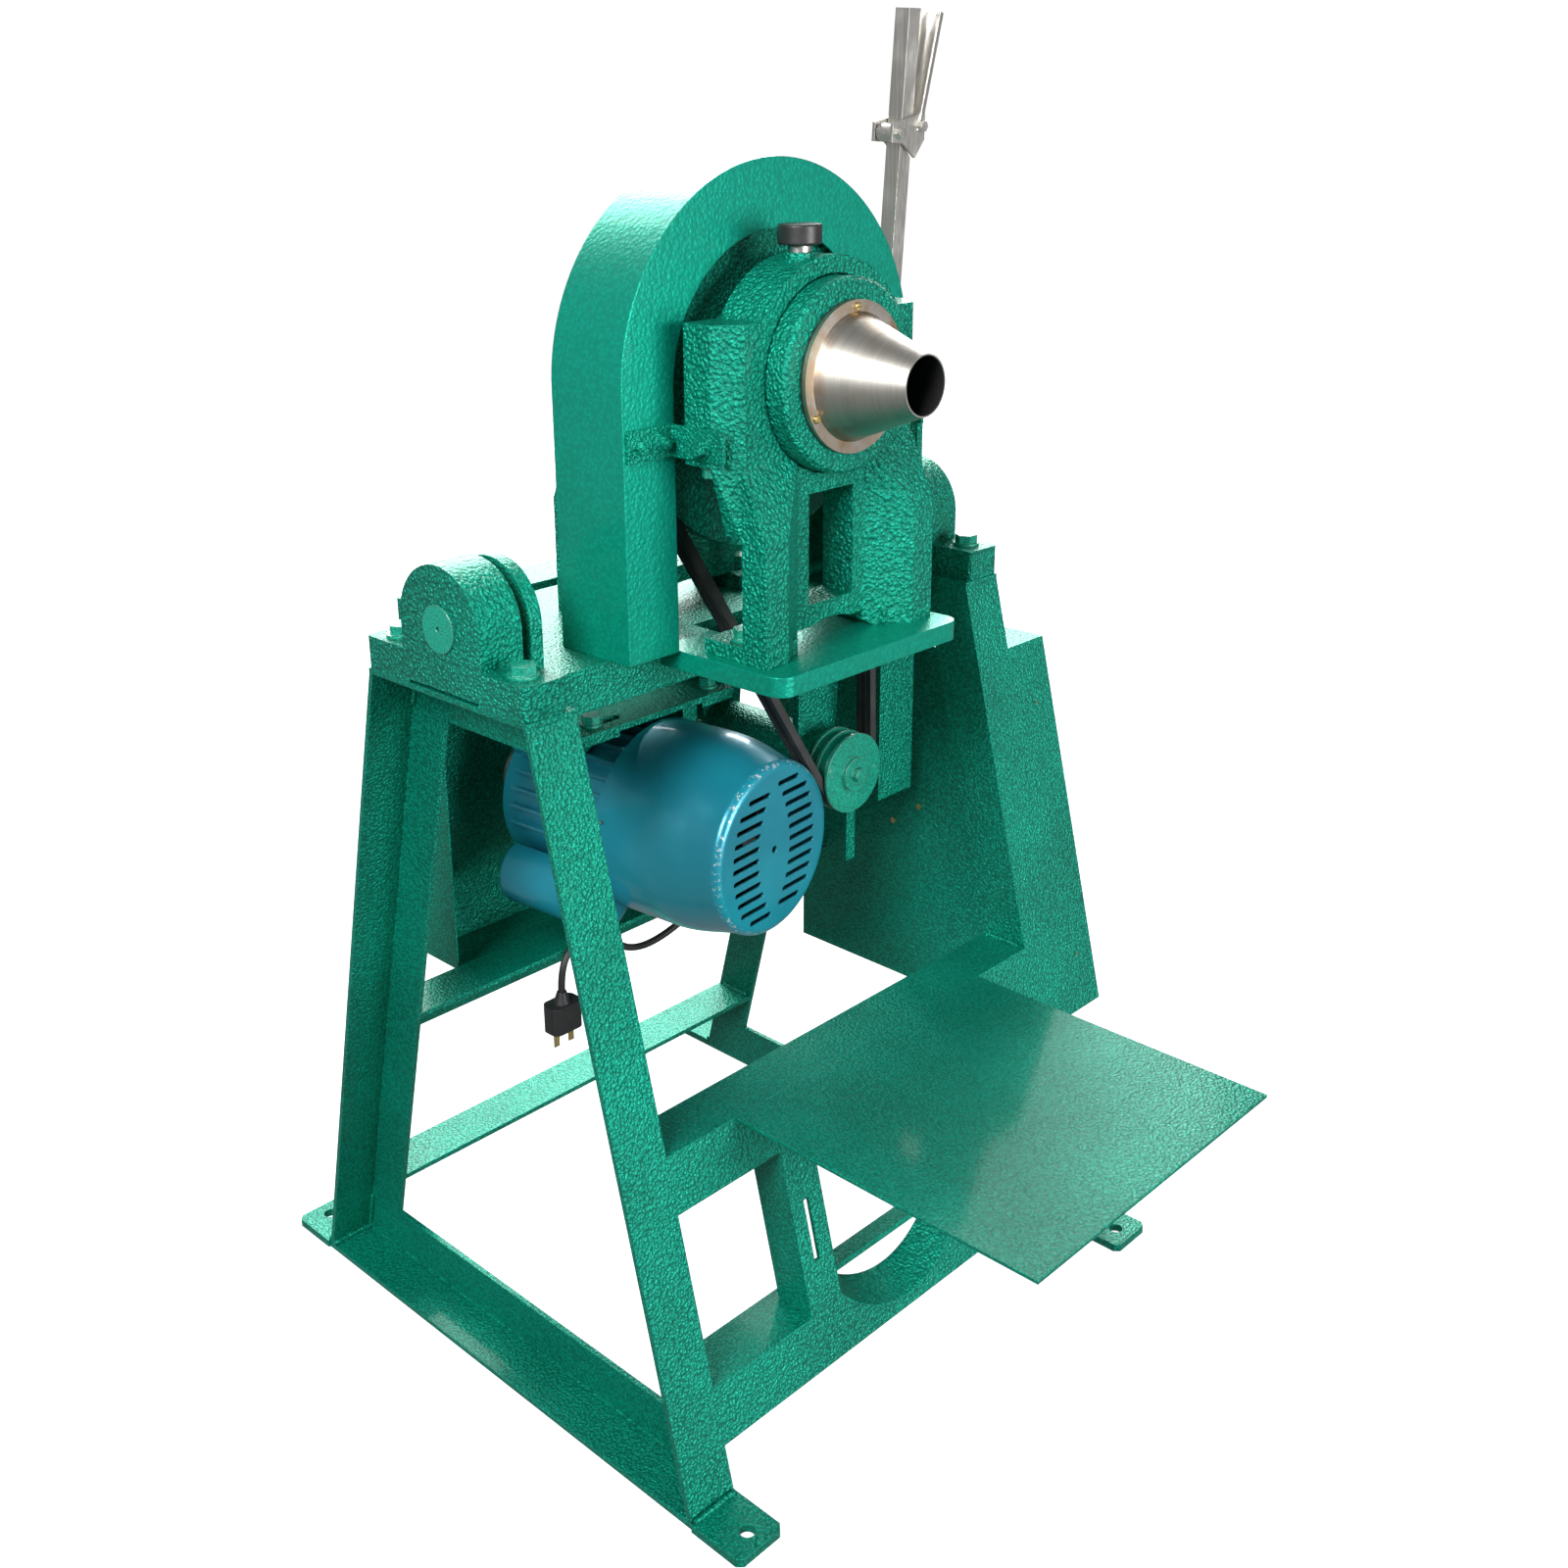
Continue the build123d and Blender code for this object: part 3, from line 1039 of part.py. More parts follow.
def button_collars():
    collars = []
    for z in BUTTON_Z:
        ring = rod_x(BUTTON_Y, z, BUTTON_R + 4, CAB_X[1], CAB_X[1] + 3)
        ring += rod_x(BUTTON_Y, z, BUTTON_R + 1.5, CAB_X[1] - 5, CAB_X[1])
        collars.append(ring - rod_x(BUTTON_Y, z, BUTTON_R - 3 + 0.1, CAB_X[1] - 9, CAB_X[1] + 9))
    return group(collars)


def cord_gland():
    """Gland on the cabinet's lid, with a tapered strain relief."""
    x, y, z = CORD_ROUTE[0]
    nut = Pos(CAB_X[0] - 8, y, z) * Rot(0, 90, 0) * extrude(RegularPolygon(11, 6, major_radius=False), amount=8)
    relief = Cone(CORD_R + 1, 8.5, CAB_X[0] - 8 - x, align=(Align.CENTER, Align.CENTER, Align.MIN))
    relief = Pos(x, y, z) * Rot(0, 90, 0) * relief
    return nut + relief


# ---------------------------------------------------------------- lever
def on_lever(shape):
    """Places a shape built upright from the tilting axis onto the leaning lever."""
    return Pos(0, 0, TILT_Z) * Rot(LEVER_LEAN, 0, 0) * shape


LEVER_L = (LEVER_TOP_Z - TILT_Z) / cos(radians(LEVER_LEAN))
TRIGGER_R = (TRIGGER_Z - TILT_Z) / cos(radians(LEVER_LEAN))
PIVOT_X = LEVER_X - LEVER_W / 2 - 8.0


def lever_tube():
    """Square tube welded to the right ear, with the trigger's pivot lug on its left side."""
    half = LEVER_W / 2
    tube = block((LEVER_X - half, LEVER_X + half), (-half, half), (LEVER_FOOT, LEVER_L))
    tube -= block((LEVER_X - half + LEVER_WALL, LEVER_X + half - LEVER_WALL), (-half + LEVER_WALL, half - LEVER_WALL),
                  (LEVER_FOOT - 1, LEVER_L + 1))
    lug = rod_y(PIVOT_X, TRIGGER_R, 8, -half, half) + block((PIVOT_X, LEVER_X - half), (-half, half),
                                                            (TRIGGER_R - 6, TRIGGER_R + 6))
    lug -= rod_y(PIVOT_X, TRIGGER_R, 3.05, -50, 50)
    return on_lever(tube + lug)


def trigger():
    """Half-round scoop on two side plates that straddle the lever and turn on its lug."""
    half = LEVER_W / 2 + 1.0
    t = 3.0
    right = LEVER_X + LEVER_W / 2
    plate = [(PIVOT_X - 9, TRIGGER_R - 8), (PIVOT_X - 9, TRIGGER_R + 9), (right + 4, TRIGGER_R + 16),
             (right + 12, TRIGGER_R + 22), (right + 14, TRIGGER_R - 6), (right + 2, TRIGGER_R - 22), (PIVOT_X + 8, TRIGGER_R - 9)]
    plates = prism_y(plate, -half - t, -half) + prism_y(plate, half, half + t)
    pin = rod_y(PIVOT_X, TRIGGER_R, 3.0, -half - t - 1, half + t + 1)
    bolts = hex_y(PIVOT_X, -half - t - 5, -half - t, TRIGGER_R, 9) + hex_y(right + 7, -half - t - 5, -half - t, TRIGGER_R + 6, 9)
    scoop = Cylinder(13, 104, align=(Align.CENTER, Align.CENTER, Align.MIN))
    scoop -= Pos(0, 0, -1) * Cylinder(11.4, 110, align=(Align.CENTER, Align.CENTER, Align.MIN))
    scoop &= Pos(7, 0, 50) * Box(14.5, 40, 140)
    scoop = Pos(right + 3.0, 0, TRIGGER_R + 2) * Rot(0, 11, 0) * scoop
    bridge = block((right + 8, right + 13), (-half - t, half + t), (TRIGGER_R - 4, TRIGGER_R + 14))
    return on_lever(plates + pin + bolts + scoop + bridge)


def latch_rod():
    """The rod inside the lever that the trigger draws upwards."""
    return on_lever(rod_z(LEVER_X, 0, LATCH_R, DISC_R + LATCH_GAP, TRIGGER_R - 30))


# ---------------------------------------------------------------- cord
def cord_radii():
    """One bend radius for each inner point of the route: as large as its two runs allow."""
    points = [Vector(*p) for p in CORD_ROUTE]
    radii = []
    for a, b, c in zip(points, points[1:], points[2:]):
        turn = radians((b - a).get_angle(c - b))
        shorter = min((b - a).length, (c - b).length)
        radii.append(0.45 * shorter / tan(turn / 2))
    return radii


def mains_cord():
    points = [Vector(*p) for p in CORD_ROUTE]
    path = FilletPolyline(*points, radius=cord_radii())
    start = Plane(origin=points[0], z_dir=points[1] - points[0])
    tube = sweep(start * Circle(CORD_R), path=path)
    print("cord length", round(path.length, 1), "bend radii", [round(r, 1) for r in cord_radii()])
    print("cord volume against section times length", round(tube.volume / (pi * CORD_R ** 2 * path.length), 4))
    return tube


def plug():
    """A moulded plug hanging on the cord's end, its pins downwards."""
    x, y, z = CORD_ROUTE[-1]
    body = block((x - 19, x + 19), (y - 12, y + 12), (z - 42, z - 12))
    body = fillet(body.edges().filter_by(Axis.Z), 8)
    neck = Pos(x, y, z - 12) * Cone(9, CORD_R + 1.2, 12, align=(Align.CENTER, Align.CENTER, Align.MIN))
    return body + neck


def plug_pins():
    x, y, z = CORD_ROUTE[-1]
    pins = [block((x + dx - 3.2, x + dx + 3.2), (y - 0.9, y + 0.9), (z - 60, z - 42)) for dx in (-9.5, 9.5)]
    return group(pins)


# ---------------------------------------------------------------- the assembly
def build_stand():
    nodes = {}
    base_rails = []
    top_rails = []
    for side, side_name in ((-1, "left"), (1, "right")):
        for end, end_name in ((-1, "front"), (1, "rear")):
            nodes[f"leg_{end_name}_{side_name}"] = leg(side, end)
        base_rails.append(rail(side, ANGLE_T, ANGLE, 0))
        top_rails.append(rail(side, RAIL_TOP - ANGLE, RAIL_UNDER, RAIL_UNDER))
        nodes[f"pivot_block_{side_name}"] = pivot_block(side)
    nodes["base_rails"] = group(base_rails)
    nodes["top_rails"] = group(top_rails)
    nodes["front_upper_bar"] = cross_bar(-1, UPPER_BAR_TOP)
    nodes["front_lower_bar"] = front_lower_bar()
    nodes["rear_bars"] = group([cross_bar(1, UPPER_BAR_TOP), cross_bar(1, LOWER_BAR_TOP)])
    nodes["foot_plates"] = foot_plates()
    nodes["tray"] = tray()
    nodes["tray_posts"] = group([tray_post(-1), tray_post(1)])
    nodes["cradle_band"] = cradle_band()
    nodes["block_bolts"] = block_bolts()
    nodes["pivot_shafts"] = group([pivot_shafts(), latch_disc()])
    return nodes


def build_cabinet():
    return {"cabinet_body": cabinet_body(), "cabinet_panel": cabinet_panel(), "cabinet_screws": cabinet_screws(),
            "button_collars": button_collars(), "start_button": button(0), "stop_button": button(1),
            "cord_gland": cord_gland(), "mains_cord": mains_cord(), "plug_body": plug(), "plug_pins": plug_pins()}


def build_cradle():
    return {"cradle_deck": cradle_deck(), "cradle_beams": group([cradle_beams(), pulley_strip()]),
            "ears": group([ear_left(), ear_right()]), "front_shelf": front_shelf(),
            "front_pedestal": pedestal(), "rear_pedestal": to_back(pedestal()),
            "housing_caps": group([pedestal_cap(), to_back(pedestal_cap())]),
            "bearings": group([bearing(), to_back(bearing()), ear_bush(-1), ear_bush(1), counter_bearings(),
                               motor_bearing()]),
            "housing_bolts": group([pedestal_bolts(), cap_bolts(), motor_bolts()]), "grease_cup_stem": grease_cup(),
            "belt_guard": belt_guard(), "guard_straps": guard_straps(), "counter_housing": counter_housing(),
            "belts": group(front_belts() + [rear_belt()]), "rear_guard": rear_guard(), "lever_tube": lever_tube()}


def build_motor():
    return {"fan_cover": fan_cover(), "motor_body": group([motor_body(), motor_bell(), motor_stator()]),
            "capacitor_box": capacitor_box(), "motor_plate": group([motor_plate(), plate_hangers()] + motor_feet()),
            "motor_rotor": group([motor_rotor(), motor_pulley()]), "cooling_fan": cooling_fan()}


def build_turning():
    return {"mill_drum": mill_drum(), "big_pulley": big_pulley(), "spout_collar": spout_collar(),
            "spout_gasket": spout_gasket(), "spout_cone": spout_cone(), "spout_screws": spout_screws(),
            "counter_shaft": group([counter_shaft(), second_pulley()]), "small_pulley": small_pulley(),
            "trigger": trigger(), "latch_rod": latch_rod(), "grease_cap": grease_cap()}


def main():
    os.makedirs(PARTS, exist_ok=True)
    nodes = {**build_stand(), **build_cabinet(), **build_cradle(), **build_motor(), **build_turning()}
    for name, shape in nodes.items():
        export_step(shape, f"{PARTS}/{name}.step")
    print(len(nodes), "nodes")


main()
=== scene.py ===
# %% [markdown]
# # A tilting ball mill
# A small grinding drum turns in two pedestal bearings on a cradle. The cradle tilts on a stand of
# angle iron, so that the drum pours its charge through a conical spout on to a tray. The engineered
# parts arrive already shaped. What is left to do here is the finish of every surface, the weld
# beads, the small screws and the mains lead, and then a plain studio to see them in.

# %% The frame: every engineered part, in metres
import json
from math import cos, pi, radians, sin

import bpy
from mathutils import Matrix, Vector


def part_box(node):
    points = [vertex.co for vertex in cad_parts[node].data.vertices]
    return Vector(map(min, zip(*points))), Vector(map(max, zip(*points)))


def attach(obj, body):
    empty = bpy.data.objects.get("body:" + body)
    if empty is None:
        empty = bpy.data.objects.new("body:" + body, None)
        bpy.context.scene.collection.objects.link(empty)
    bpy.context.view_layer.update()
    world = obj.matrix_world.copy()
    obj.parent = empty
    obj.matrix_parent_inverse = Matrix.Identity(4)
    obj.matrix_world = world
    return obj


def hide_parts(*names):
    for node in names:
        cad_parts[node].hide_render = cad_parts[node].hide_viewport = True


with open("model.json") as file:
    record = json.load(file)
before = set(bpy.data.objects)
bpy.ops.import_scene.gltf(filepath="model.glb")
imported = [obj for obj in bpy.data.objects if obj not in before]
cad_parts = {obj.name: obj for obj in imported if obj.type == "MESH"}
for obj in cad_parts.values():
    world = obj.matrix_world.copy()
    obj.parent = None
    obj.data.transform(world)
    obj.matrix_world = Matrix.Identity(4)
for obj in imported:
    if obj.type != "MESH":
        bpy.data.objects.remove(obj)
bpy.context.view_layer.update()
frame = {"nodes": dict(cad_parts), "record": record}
nodes = frame["nodes"]

# %% [markdown]
# ## Values as expressions
# A finish is a small sum: so much of one noise, less some of another, held between two limits.
# Written as nodes it is long and hard to read. A class that wraps a socket and answers to +, -,
# * and / lets the sum be written as a sum, and adds the Math nodes behind it.

# %% A socket that arithmetic works on
class Value:
    """One output in a material. Arithmetic on it adds Math nodes."""

    def __init__(self, finish, socket):
        self.finish = finish
        self.socket = socket

    def math(self, operation, *others):
        return self.finish.add("ShaderNodeMath", {"operation": operation}, [self, *others])

    def __add__(self, other):
        return self.math("ADD", other)

    def __sub__(self, other):
        return self.math("SUBTRACT", other)

    def __mul__(self, other):
        return self.math("MULTIPLY", other)

    def __truediv__(self, other):
        return self.math("DIVIDE", other)

    def __rsub__(self, other):
        return self.finish.add("ShaderNodeMath", {"operation": "SUBTRACT"}, [other, self])

    __radd__ = __add__
    __rmul__ = __mul__

    def power(self, exponent):
        return self.math("POWER", exponent)

    def between(self, low, high):
        """0 below low, 1 above high, smooth between; turned round where low is the larger."""
        return self.finish.add("ShaderNodeMapRange", {"interpolation_type": "SMOOTHSTEP"},
                               {"Value": self, "From Min": low, "From Max": high})


# %% A material under construction
class Finish:
    """A Principled material and the one method that adds any other node to it."""

    def __init__(self, name, **fixed):
        self.material = bpy.data.materials.new(name)
        self.material.use_nodes = True
        self.tree = self.material.node_tree
        self.tree.nodes.clear()
        self.shader = self.tree.nodes.new("ShaderNodeBsdfPrincipled")
        output = self.tree.nodes.new("ShaderNodeOutputMaterial")
        self.tree.links.new(self.shader.outputs["BSDF"], output.inputs["Surface"])
        self.feed(**fixed)

    def plug_in(self, socket, value):
        if isinstance(value, Value):
            self.tree.links.new(value.socket, socket)
        else:
            socket.default_value = value

    def feed(self, **sockets):
        """Sets or links the shader's own sockets, with _ for each space in a name."""
        for name, value in sockets.items():
            self.plug_in(self.shader.inputs[name.replace("_", " ")], value)

    def add(self, kind, settings=None, inputs=(), out=0):
        """Adds a node: its settings first, then its sockets by name or in order."""
        node = self.tree.nodes.new(kind)
        for name, value in (settings or {}).items():
            setattr(node, name, value)
        pairs = inputs.items() if isinstance(inputs, dict) else enumerate(inputs)
        for key, value in pairs:
            self.plug_in(node.inputs[key], value)
        return Value(self, node.outputs[out])

    def place(self):
        return self.add("ShaderNodeTexCoord", out="Object")

    def noise(self, where, scale, detail=3.0, rough=0.5):
        return self.add("ShaderNodeTexNoise", None,
                        {"Vector": where, "Scale": scale, "Detail": detail, "Roughness": rough})

    def mix(self, amount, first, second):
        """Blends two colours."""
        node = self.tree.nodes.new("ShaderNodeMix")
        node.data_type = "RGBA"
        for index, value in ((0, amount), (6, first), (7, second)):
            if index and not isinstance(value, Value):
                value = (*value, 1.0)
            self.plug_in(node.inputs[index], value)
        return Value(self, node.outputs[2])

    def soft_edge(self, radius):
        """The surface's normal with every corner rounded over."""
        return self.add("ShaderNodeBevel", {"samples": 4}, {"Radius": radius})

    def edges(self, rounded):
        """1 on the very corners and 0 on flat ground."""
        flat = self.add("ShaderNodeNewGeometry", out="Normal")
        dot = self.add("ShaderNodeVectorMath", {"operation": "DOT_PRODUCT"}, [rounded, flat],
                       out="Value")
        return (1.0 - dot).between(0.02, 0.22)

    def bump(self, height, distance, normal=None, strength=1.0):
        inputs = {"Strength": strength, "Distance": distance, "Height": height}
        if normal:
            inputs["Normal"] = normal
        return self.add("ShaderNodeBump", None, inputs)


# %% [markdown]
# ## Hammertone enamel
# Most of the machine wears hammertone: an enamel that draws itself into small flat pebbles as it
# dries, each with a soft bright middle and a darker seam. Smooth Voronoi cells make the pebbles. A
# little noise pushes the cells out of line first, because true Voronoi seams are straight. The same
# recipe is used three times: as sprayed on sheet and angle iron, thicker on the castings, and
# smoother and glossier on the guard.

# %% Hammertone
def hammertone(name, light, dark, pebble, relief, roughness, gloss):
    f = Finish(name, Metallic=0.55, Coat_Roughness=0.10, Specular_IOR_Level=0.30)
    where = f.place()
    drift = f.add("ShaderNodeTexNoise", None, {"Vector": where, "Scale": 0.6 / pebble, "Detail": 2.0},
                  out="Color")
    bent = f.add("ShaderNodeVectorMath", {"operation": "MULTIPLY_ADD"},
                 [drift, (pebble * 0.9,) * 3, where])
    cells = f.add("ShaderNodeTexVoronoi", {"feature": "SMOOTH_F1"},
                  {"Vector": bent, "Scale": 1.0 / pebble, "Smoothness": 0.45}, out="Distance")
    grain = f.noise(bent, 2.4 / pebble)
    cloud = f.noise(where, 7.0, 4.0)
    pebbles = (1.0 - cells * 1.25) * 0.75 + grain * 0.35
    rounded = f.soft_edge(0.0016)
    edge = f.edges(rounded)
    tone = pebbles.between(0.25, 0.95) * 0.75 + cloud.between(0.3, 0.7) * 0.25
    enamel = f.mix(tone, dark, light)
    # Corners get a paler green in noisy patches: partly edge wear, partly a painted highlight along the
    # edges.
    wear_and_edge_highlight = edge * f.noise(where, 60.0).between(0.35, 0.75)
    edge_highlight_green = tuple(min(1.0, c * 1.5 + 0.02) for c in light)
    f.feed(Base_Color=f.mix(wear_and_edge_highlight * 0.5, enamel, edge_highlight_green),
           Roughness=roughness + grain * 0.16 - tone * 0.08,
           Coat_Weight=gloss - wear_and_edge_highlight * 0.2,
           Normal=f.bump(pebbles, relief, rounded))
    return f.material


GREEN = (0.002, 0.400, 0.275)
DEEP_GREEN = (0.0008, 0.150, 0.098)
sheet_enamel = hammertone("hammertone_sheet", GREEN, DEEP_GREEN, 0.0027, 0.0014, 0.34, 0.10)
cast_enamel = hammertone("hammertone_casting", GREEN, DEEP_GREEN, 0.0033, 0.0026, 0.36, 0.14)
guard_enamel = hammertone("hammertone_guard", (0.002, 0.390, 0.270), (0.001, 0.260, 0.180),
                          0.0036, 0.0003, 0.30, 0.16)

# %% [markdown]
# ## The motor's blue enamel
# The motor was painted by its maker in a smooth blue, glossy enough to mirror the room. Its fan
# cover has been knocked about on the rim, and the bare metal shows there in small chips. The chips
# are patches of noise, allowed only in a ring where the round rim is, measured from the motor's
# own axis.

# %% Motor enamel
MOTOR_START = Vector((-0.0015, -0.083, 0.458))
MOTOR_YAW = radians(5.5)
RIM_R = 0.0815           # where the cover's round rim is most knocked about


def along_motor(finish):
    """Coordinates with their origin at the fan cover's face and Y along the motor's axis."""
    moved = finish.add("ShaderNodeVectorMath", {"operation": "SUBTRACT"}, [finish.place(), MOTOR_START])
    return finish.add("ShaderNodeVectorRotate", {"rotation_type": "Z_AXIS"},
                      {"Vector": moved, "Angle": -MOTOR_YAW})


def radius_and_depth(finish, where):
    """How far a point is from the Y axis, and along it."""
    split = finish.add("ShaderNodeSeparateXYZ", None, [where])
    x, y, z = (Value(finish, split.socket.node.outputs[i]) for i in range(3))
    return (x * x + z * z).power(0.5), y


def motor_enamel():
    f = Finish("motor_blue", Metallic=0.35, Coat_Roughness=0.08, Coat_Weight=0.40)
    local = along_motor(f)
    radius, depth = radius_and_depth(f, local)
    rounded = f.soft_edge(0.0014)
    edge = f.edges(rounded)
    haze = f.noise(local, 9.0, 5.0)
    fine = f.noise(local, 900.0, 2.0)
    paint = f.mix(haze.between(0.3, 0.7), (0.010, 0.215, 0.300), (0.014, 0.300, 0.400))
    ring = (radius - RIM_R).math("ABSOLUTE").between(0.0034, 0.0008) * depth.between(0.010, 0.005)
    chips = ring * f.noise(local, 260.0, 4.0, 0.65).between(0.57, 0.62)
    scuffs = f.noise(local, 45.0, 6.0, 0.8).between(0.70, 0.76) * 0.35
    bare = (chips + edge * 0.25 * f.noise(local, 150.0).between(0.5, 0.6)).math("MINIMUM", 1.0)
    f.feed(Base_Color=f.mix(scuffs, f.mix(bare, paint, (0.52, 0.55, 0.55)), (0.16, 0.30, 0.36)),
           Roughness=0.26 + haze * 0.10 + scuffs * 0.3,
           Normal=f.bump(fine - bare * 0.8, 0.00012, rounded))
    return f.material


blue_enamel = motor_enamel()

# %% [markdown]
# ## Bare metals
# The spout was rolled from stainless sheet and welded, so it has fine rings from polishing and a
# brown tint where the weld's heat ran. The lever is stainless tube, brushed along its length. Both
# come from noise that is squeezed along the brushing and stretched across it.

# %% Stainless steel
SPINDLE_Z = 0.901
CONE_TIP_Y, CONE_TIP_R, CONE_SLOPE = -0.244, 0.0248, 0.374      # the cone's outer wall


def stretched(finish, where, scale):
    return finish.add("ShaderNodeVectorMath", {"operation": "MULTIPLY"}, [where, scale])


def spout_steel():
    f = Finish("spout_stainless", Metallic=1.0)
    where = f.add("ShaderNodeVectorMath", {"operation": "SUBTRACT"}, [f.place(), (0.0, 0.0, SPINDLE_Z)])
    radius, depth = radius_and_depth(f, where)
    rings = f.noise(stretched(f, where, (14.0, 2600.0, 14.0)), 1.0, 4.0)
    blotch = f.noise(where, 38.0, 5.0, 0.6)
    heat = f.noise(where, 17.0, 3.0).between(0.52, 0.68)
    flange = depth.between(-0.186, -0.176)
    steel = f.mix(rings.between(0.3, 0.7), (0.40, 0.385, 0.35), (0.50, 0.48, 0.44))
    tint = (heat * 0.45 + flange * 0.75) * blotch.between(0.30, 0.6)
    tinted = f.mix(tint, steel, (0.33, 0.235, 0.15))
    # The cone's bore is painted near black, barely metallic and rougher: painted shade inside the
    # hollow.
    wall = (depth - CONE_TIP_Y) * CONE_SLOPE + (CONE_TIP_R - 0.0007)
    bore_shade = (radius - wall).between(0.0, -0.0004) * depth.between(-0.176, -0.178)
    f.feed(Base_Color=f.mix(bore_shade, tinted, (0.012, 0.012, 0.012)),
           Metallic=1.0 - bore_shade * 0.9,
           Roughness=0.27 + rings * 0.16 + blotch * 0.10 + bore_shade * 0.3,
           Normal=f.bump(rings + blotch * 0.8, 0.00005))
    return f.material


def brushed_steel(name, way, light, dark, roughness=0.26):
    """way is the stretch of the brushing: small along it, large across it."""
    f = Finish(name, Metallic=1.0)
    where = f.place()
    lines = f.noise(stretched(f, where, way), 1.0, 4.0)
    cloud = f.noise(where, 25.0, 5.0)
    rounded = f.soft_edge(0.0008)
    f.feed(Base_Color=f.mix(lines.between(0.3, 0.7) * 0.6 + cloud * 0.4, dark, light),
           Roughness=roughness + lines * 0.14 + cloud.between(0.45, 0.7) * 0.12,
           Normal=f.bump(lines, 0.00006, rounded))
    return f.material


UPRIGHT = (900.0, 900.0, 9.0)        # lines that run up the lever
TURNED = (40.0, 900.0, 40.0)         # rings round an axle that lies along Y
EVERY_WAY = (500.0, 500.0, 500.0)    # a plated screw has no lines
spout_finish = spout_steel()
lever_steel = brushed_steel("lever_stainless", UPRIGHT, (0.82, 0.80, 0.76), (0.56, 0.54, 0.50))
shaft_steel = brushed_steel("turned_steel", TURNED, (0.56, 0.56, 0.55), (0.36, 0.36, 0.35), 0.30)
bronze = brushed_steel("bearing_bronze", TURNED, (0.52, 0.38, 0.18), (0.34, 0.23, 0.10), 0.34)
yellow_zinc = brushed_steel("yellow_zinc", EVERY_WAY, (0.78, 0.62, 0.28), (0.52, 0.38, 0.15), 0.24)

# %% [markdown]
# ## Painted-over fasteners and pulleys
# The bolts were put in before the last coat, so they are green, but a spanner and the weather have
# been at their corners. The pulleys were painted too, and the belts have polished their rims bare.
# Both are one finish: enamel over steel, with the steel showing where the corner mask is high.

# %% Enamel over steel
def worn_enamel(name, wear, steel=(0.42, 0.43, 0.40)):
    f = Finish(name, Coat_Roughness=0.15)
    where = f.place()
    rounded = f.soft_edge(0.0010)
    grain = f.noise(where, 700.0)
    patch = f.noise(where, 120.0, 4.0, 0.6)
    bare = (f.edges(rounded) * wear + patch.between(0.72 - wear * 0.1, 0.80)).math("MINIMUM", 1.0)
    enamel = f.mix(grain.between(0.3, 0.7), DEEP_GREEN, GREEN)
    f.feed(Base_Color=f.mix(bare, enamel, steel), Metallic=0.2 + bare * 0.7,
           Roughness=0.30 + grain * 0.15, Coat_Weight=0.35 - bare * 0.3,
           Normal=f.bump(grain - bare * 0.5, 0.0004, rounded))
    return f.material


painted_bolts = worn_enamel("painted_fasteners", 0.35)
pulley_enamel = worn_enamel("pulley_enamel", 0.9)


# %% [markdown]
# ## Rubber and plastic
# Rubber is never flat black: it has a dusty bloom, and a moulded skin with a fine grain.

# %% Rubber and plastic
def moulded(name, colour, bloom, grain_size, roughness, relief=0.00010):
    f = Finish(name)
    where = f.place()
    grain = f.noise(where, 1.0 / grain_size, 3.0)
    dust = f.noise(where, 30.0, 5.0).between(0.45, 0.75)
    rounded = f.soft_edge(0.0010)
    f.feed(Base_Color=f.mix(dust * 0.5, colour, bloom),
           Roughness=roughness + dust * 0.15 + grain * 0.08,
           Normal=f.bump(grain, relief, rounded))
    return f.material


belt_rubber = moulded("belt_rubber", (0.018, 0.018, 0.019), (0.060, 0.060, 0.058), 0.0011, 0.58, 0.0002)
lead_rubber = moulded("lead_rubber", (0.012, 0.012, 0.013), (0.040, 0.040, 0.040), 0.0016, 0.40)
black_plastic = moulded("black_plastic", (0.014, 0.014, 0.015), (0.045, 0.045, 0.045), 0.0009, 0.34)
start_green = moulded("start_green", (0.01, 0.30, 0.06), (0.05, 0.36, 0.12), 0.0010, 0.24)
stop_red = moulded("stop_red", (0.50, 0.012, 0.010), (0.55, 0.06, 0.05), 0.0010, 0.24)

# %% [markdown]
# ## Each part gets its finish
# The record already says which finish each part has, so the parts are not listed again here. Only
# the few that differ from their group are named.

# %% Finishes on the engineered parts
FINISHES = {"hammertone_enamel": sheet_enamel, "casting_enamel": cast_enamel,
            "guard_enamel": guard_enamel, "motor_enamel": blue_enamel,
            "brushed_stainless": lever_steel, "turned_steel": shaft_steel,
            "cast_pulley": pulley_enamel, "zinc_fasteners": painted_bolts, "yellow_zinc": yellow_zinc,
            "bearing_bronze": bronze, "belt_rubber": belt_rubber, "black_rubber": lead_rubber,
            "black_plastic": black_plastic, "start_green": start_green, "stop_red": stop_red}
EXCEPTIONS = {"spout_cone": spout_finish, "front_shelf": guard_enamel, "spout_collar": cast_enamel,
              "pivot_shafts": pulley_enamel, "cabinet_screws": yellow_zinc,
              "mill_drum": cast_enamel, "big_pulley": cast_enamel}


def dress(obj, material):
    """Puts one material in every slot of an object."""
    if not obj.material_slots:
        obj.data.materials.append(material)
    for slot in obj.material_slots:
        slot.material = material


for part in frame["record"]["subparts"]:
    name = part["node"]
    dress(nodes[name], EXCEPTIONS.get(name, FINISHES[part["material_slot"]]))
print(len(FINISHES) + 1, "finishes on", len(nodes), "parts")

# %% [markdown]
# ## Weld beads
# The stand is welded, and each bead is a row of overlapping ripples. A bead follows a path, so it is
# a Geometry Nodes tree: a curve gets a round section, and its points are pushed along their normals
# by noise, which stands for both the ripples and the welder's hand. One tree makes every bead.

# %% The bead tree
def group_input(tree, name, kind, default):
    socket = tree.interface.new_socket(name, in_out="INPUT", socket_type=kind)
    if default is not None:
        socket.default_value = default
    return socket.identifier


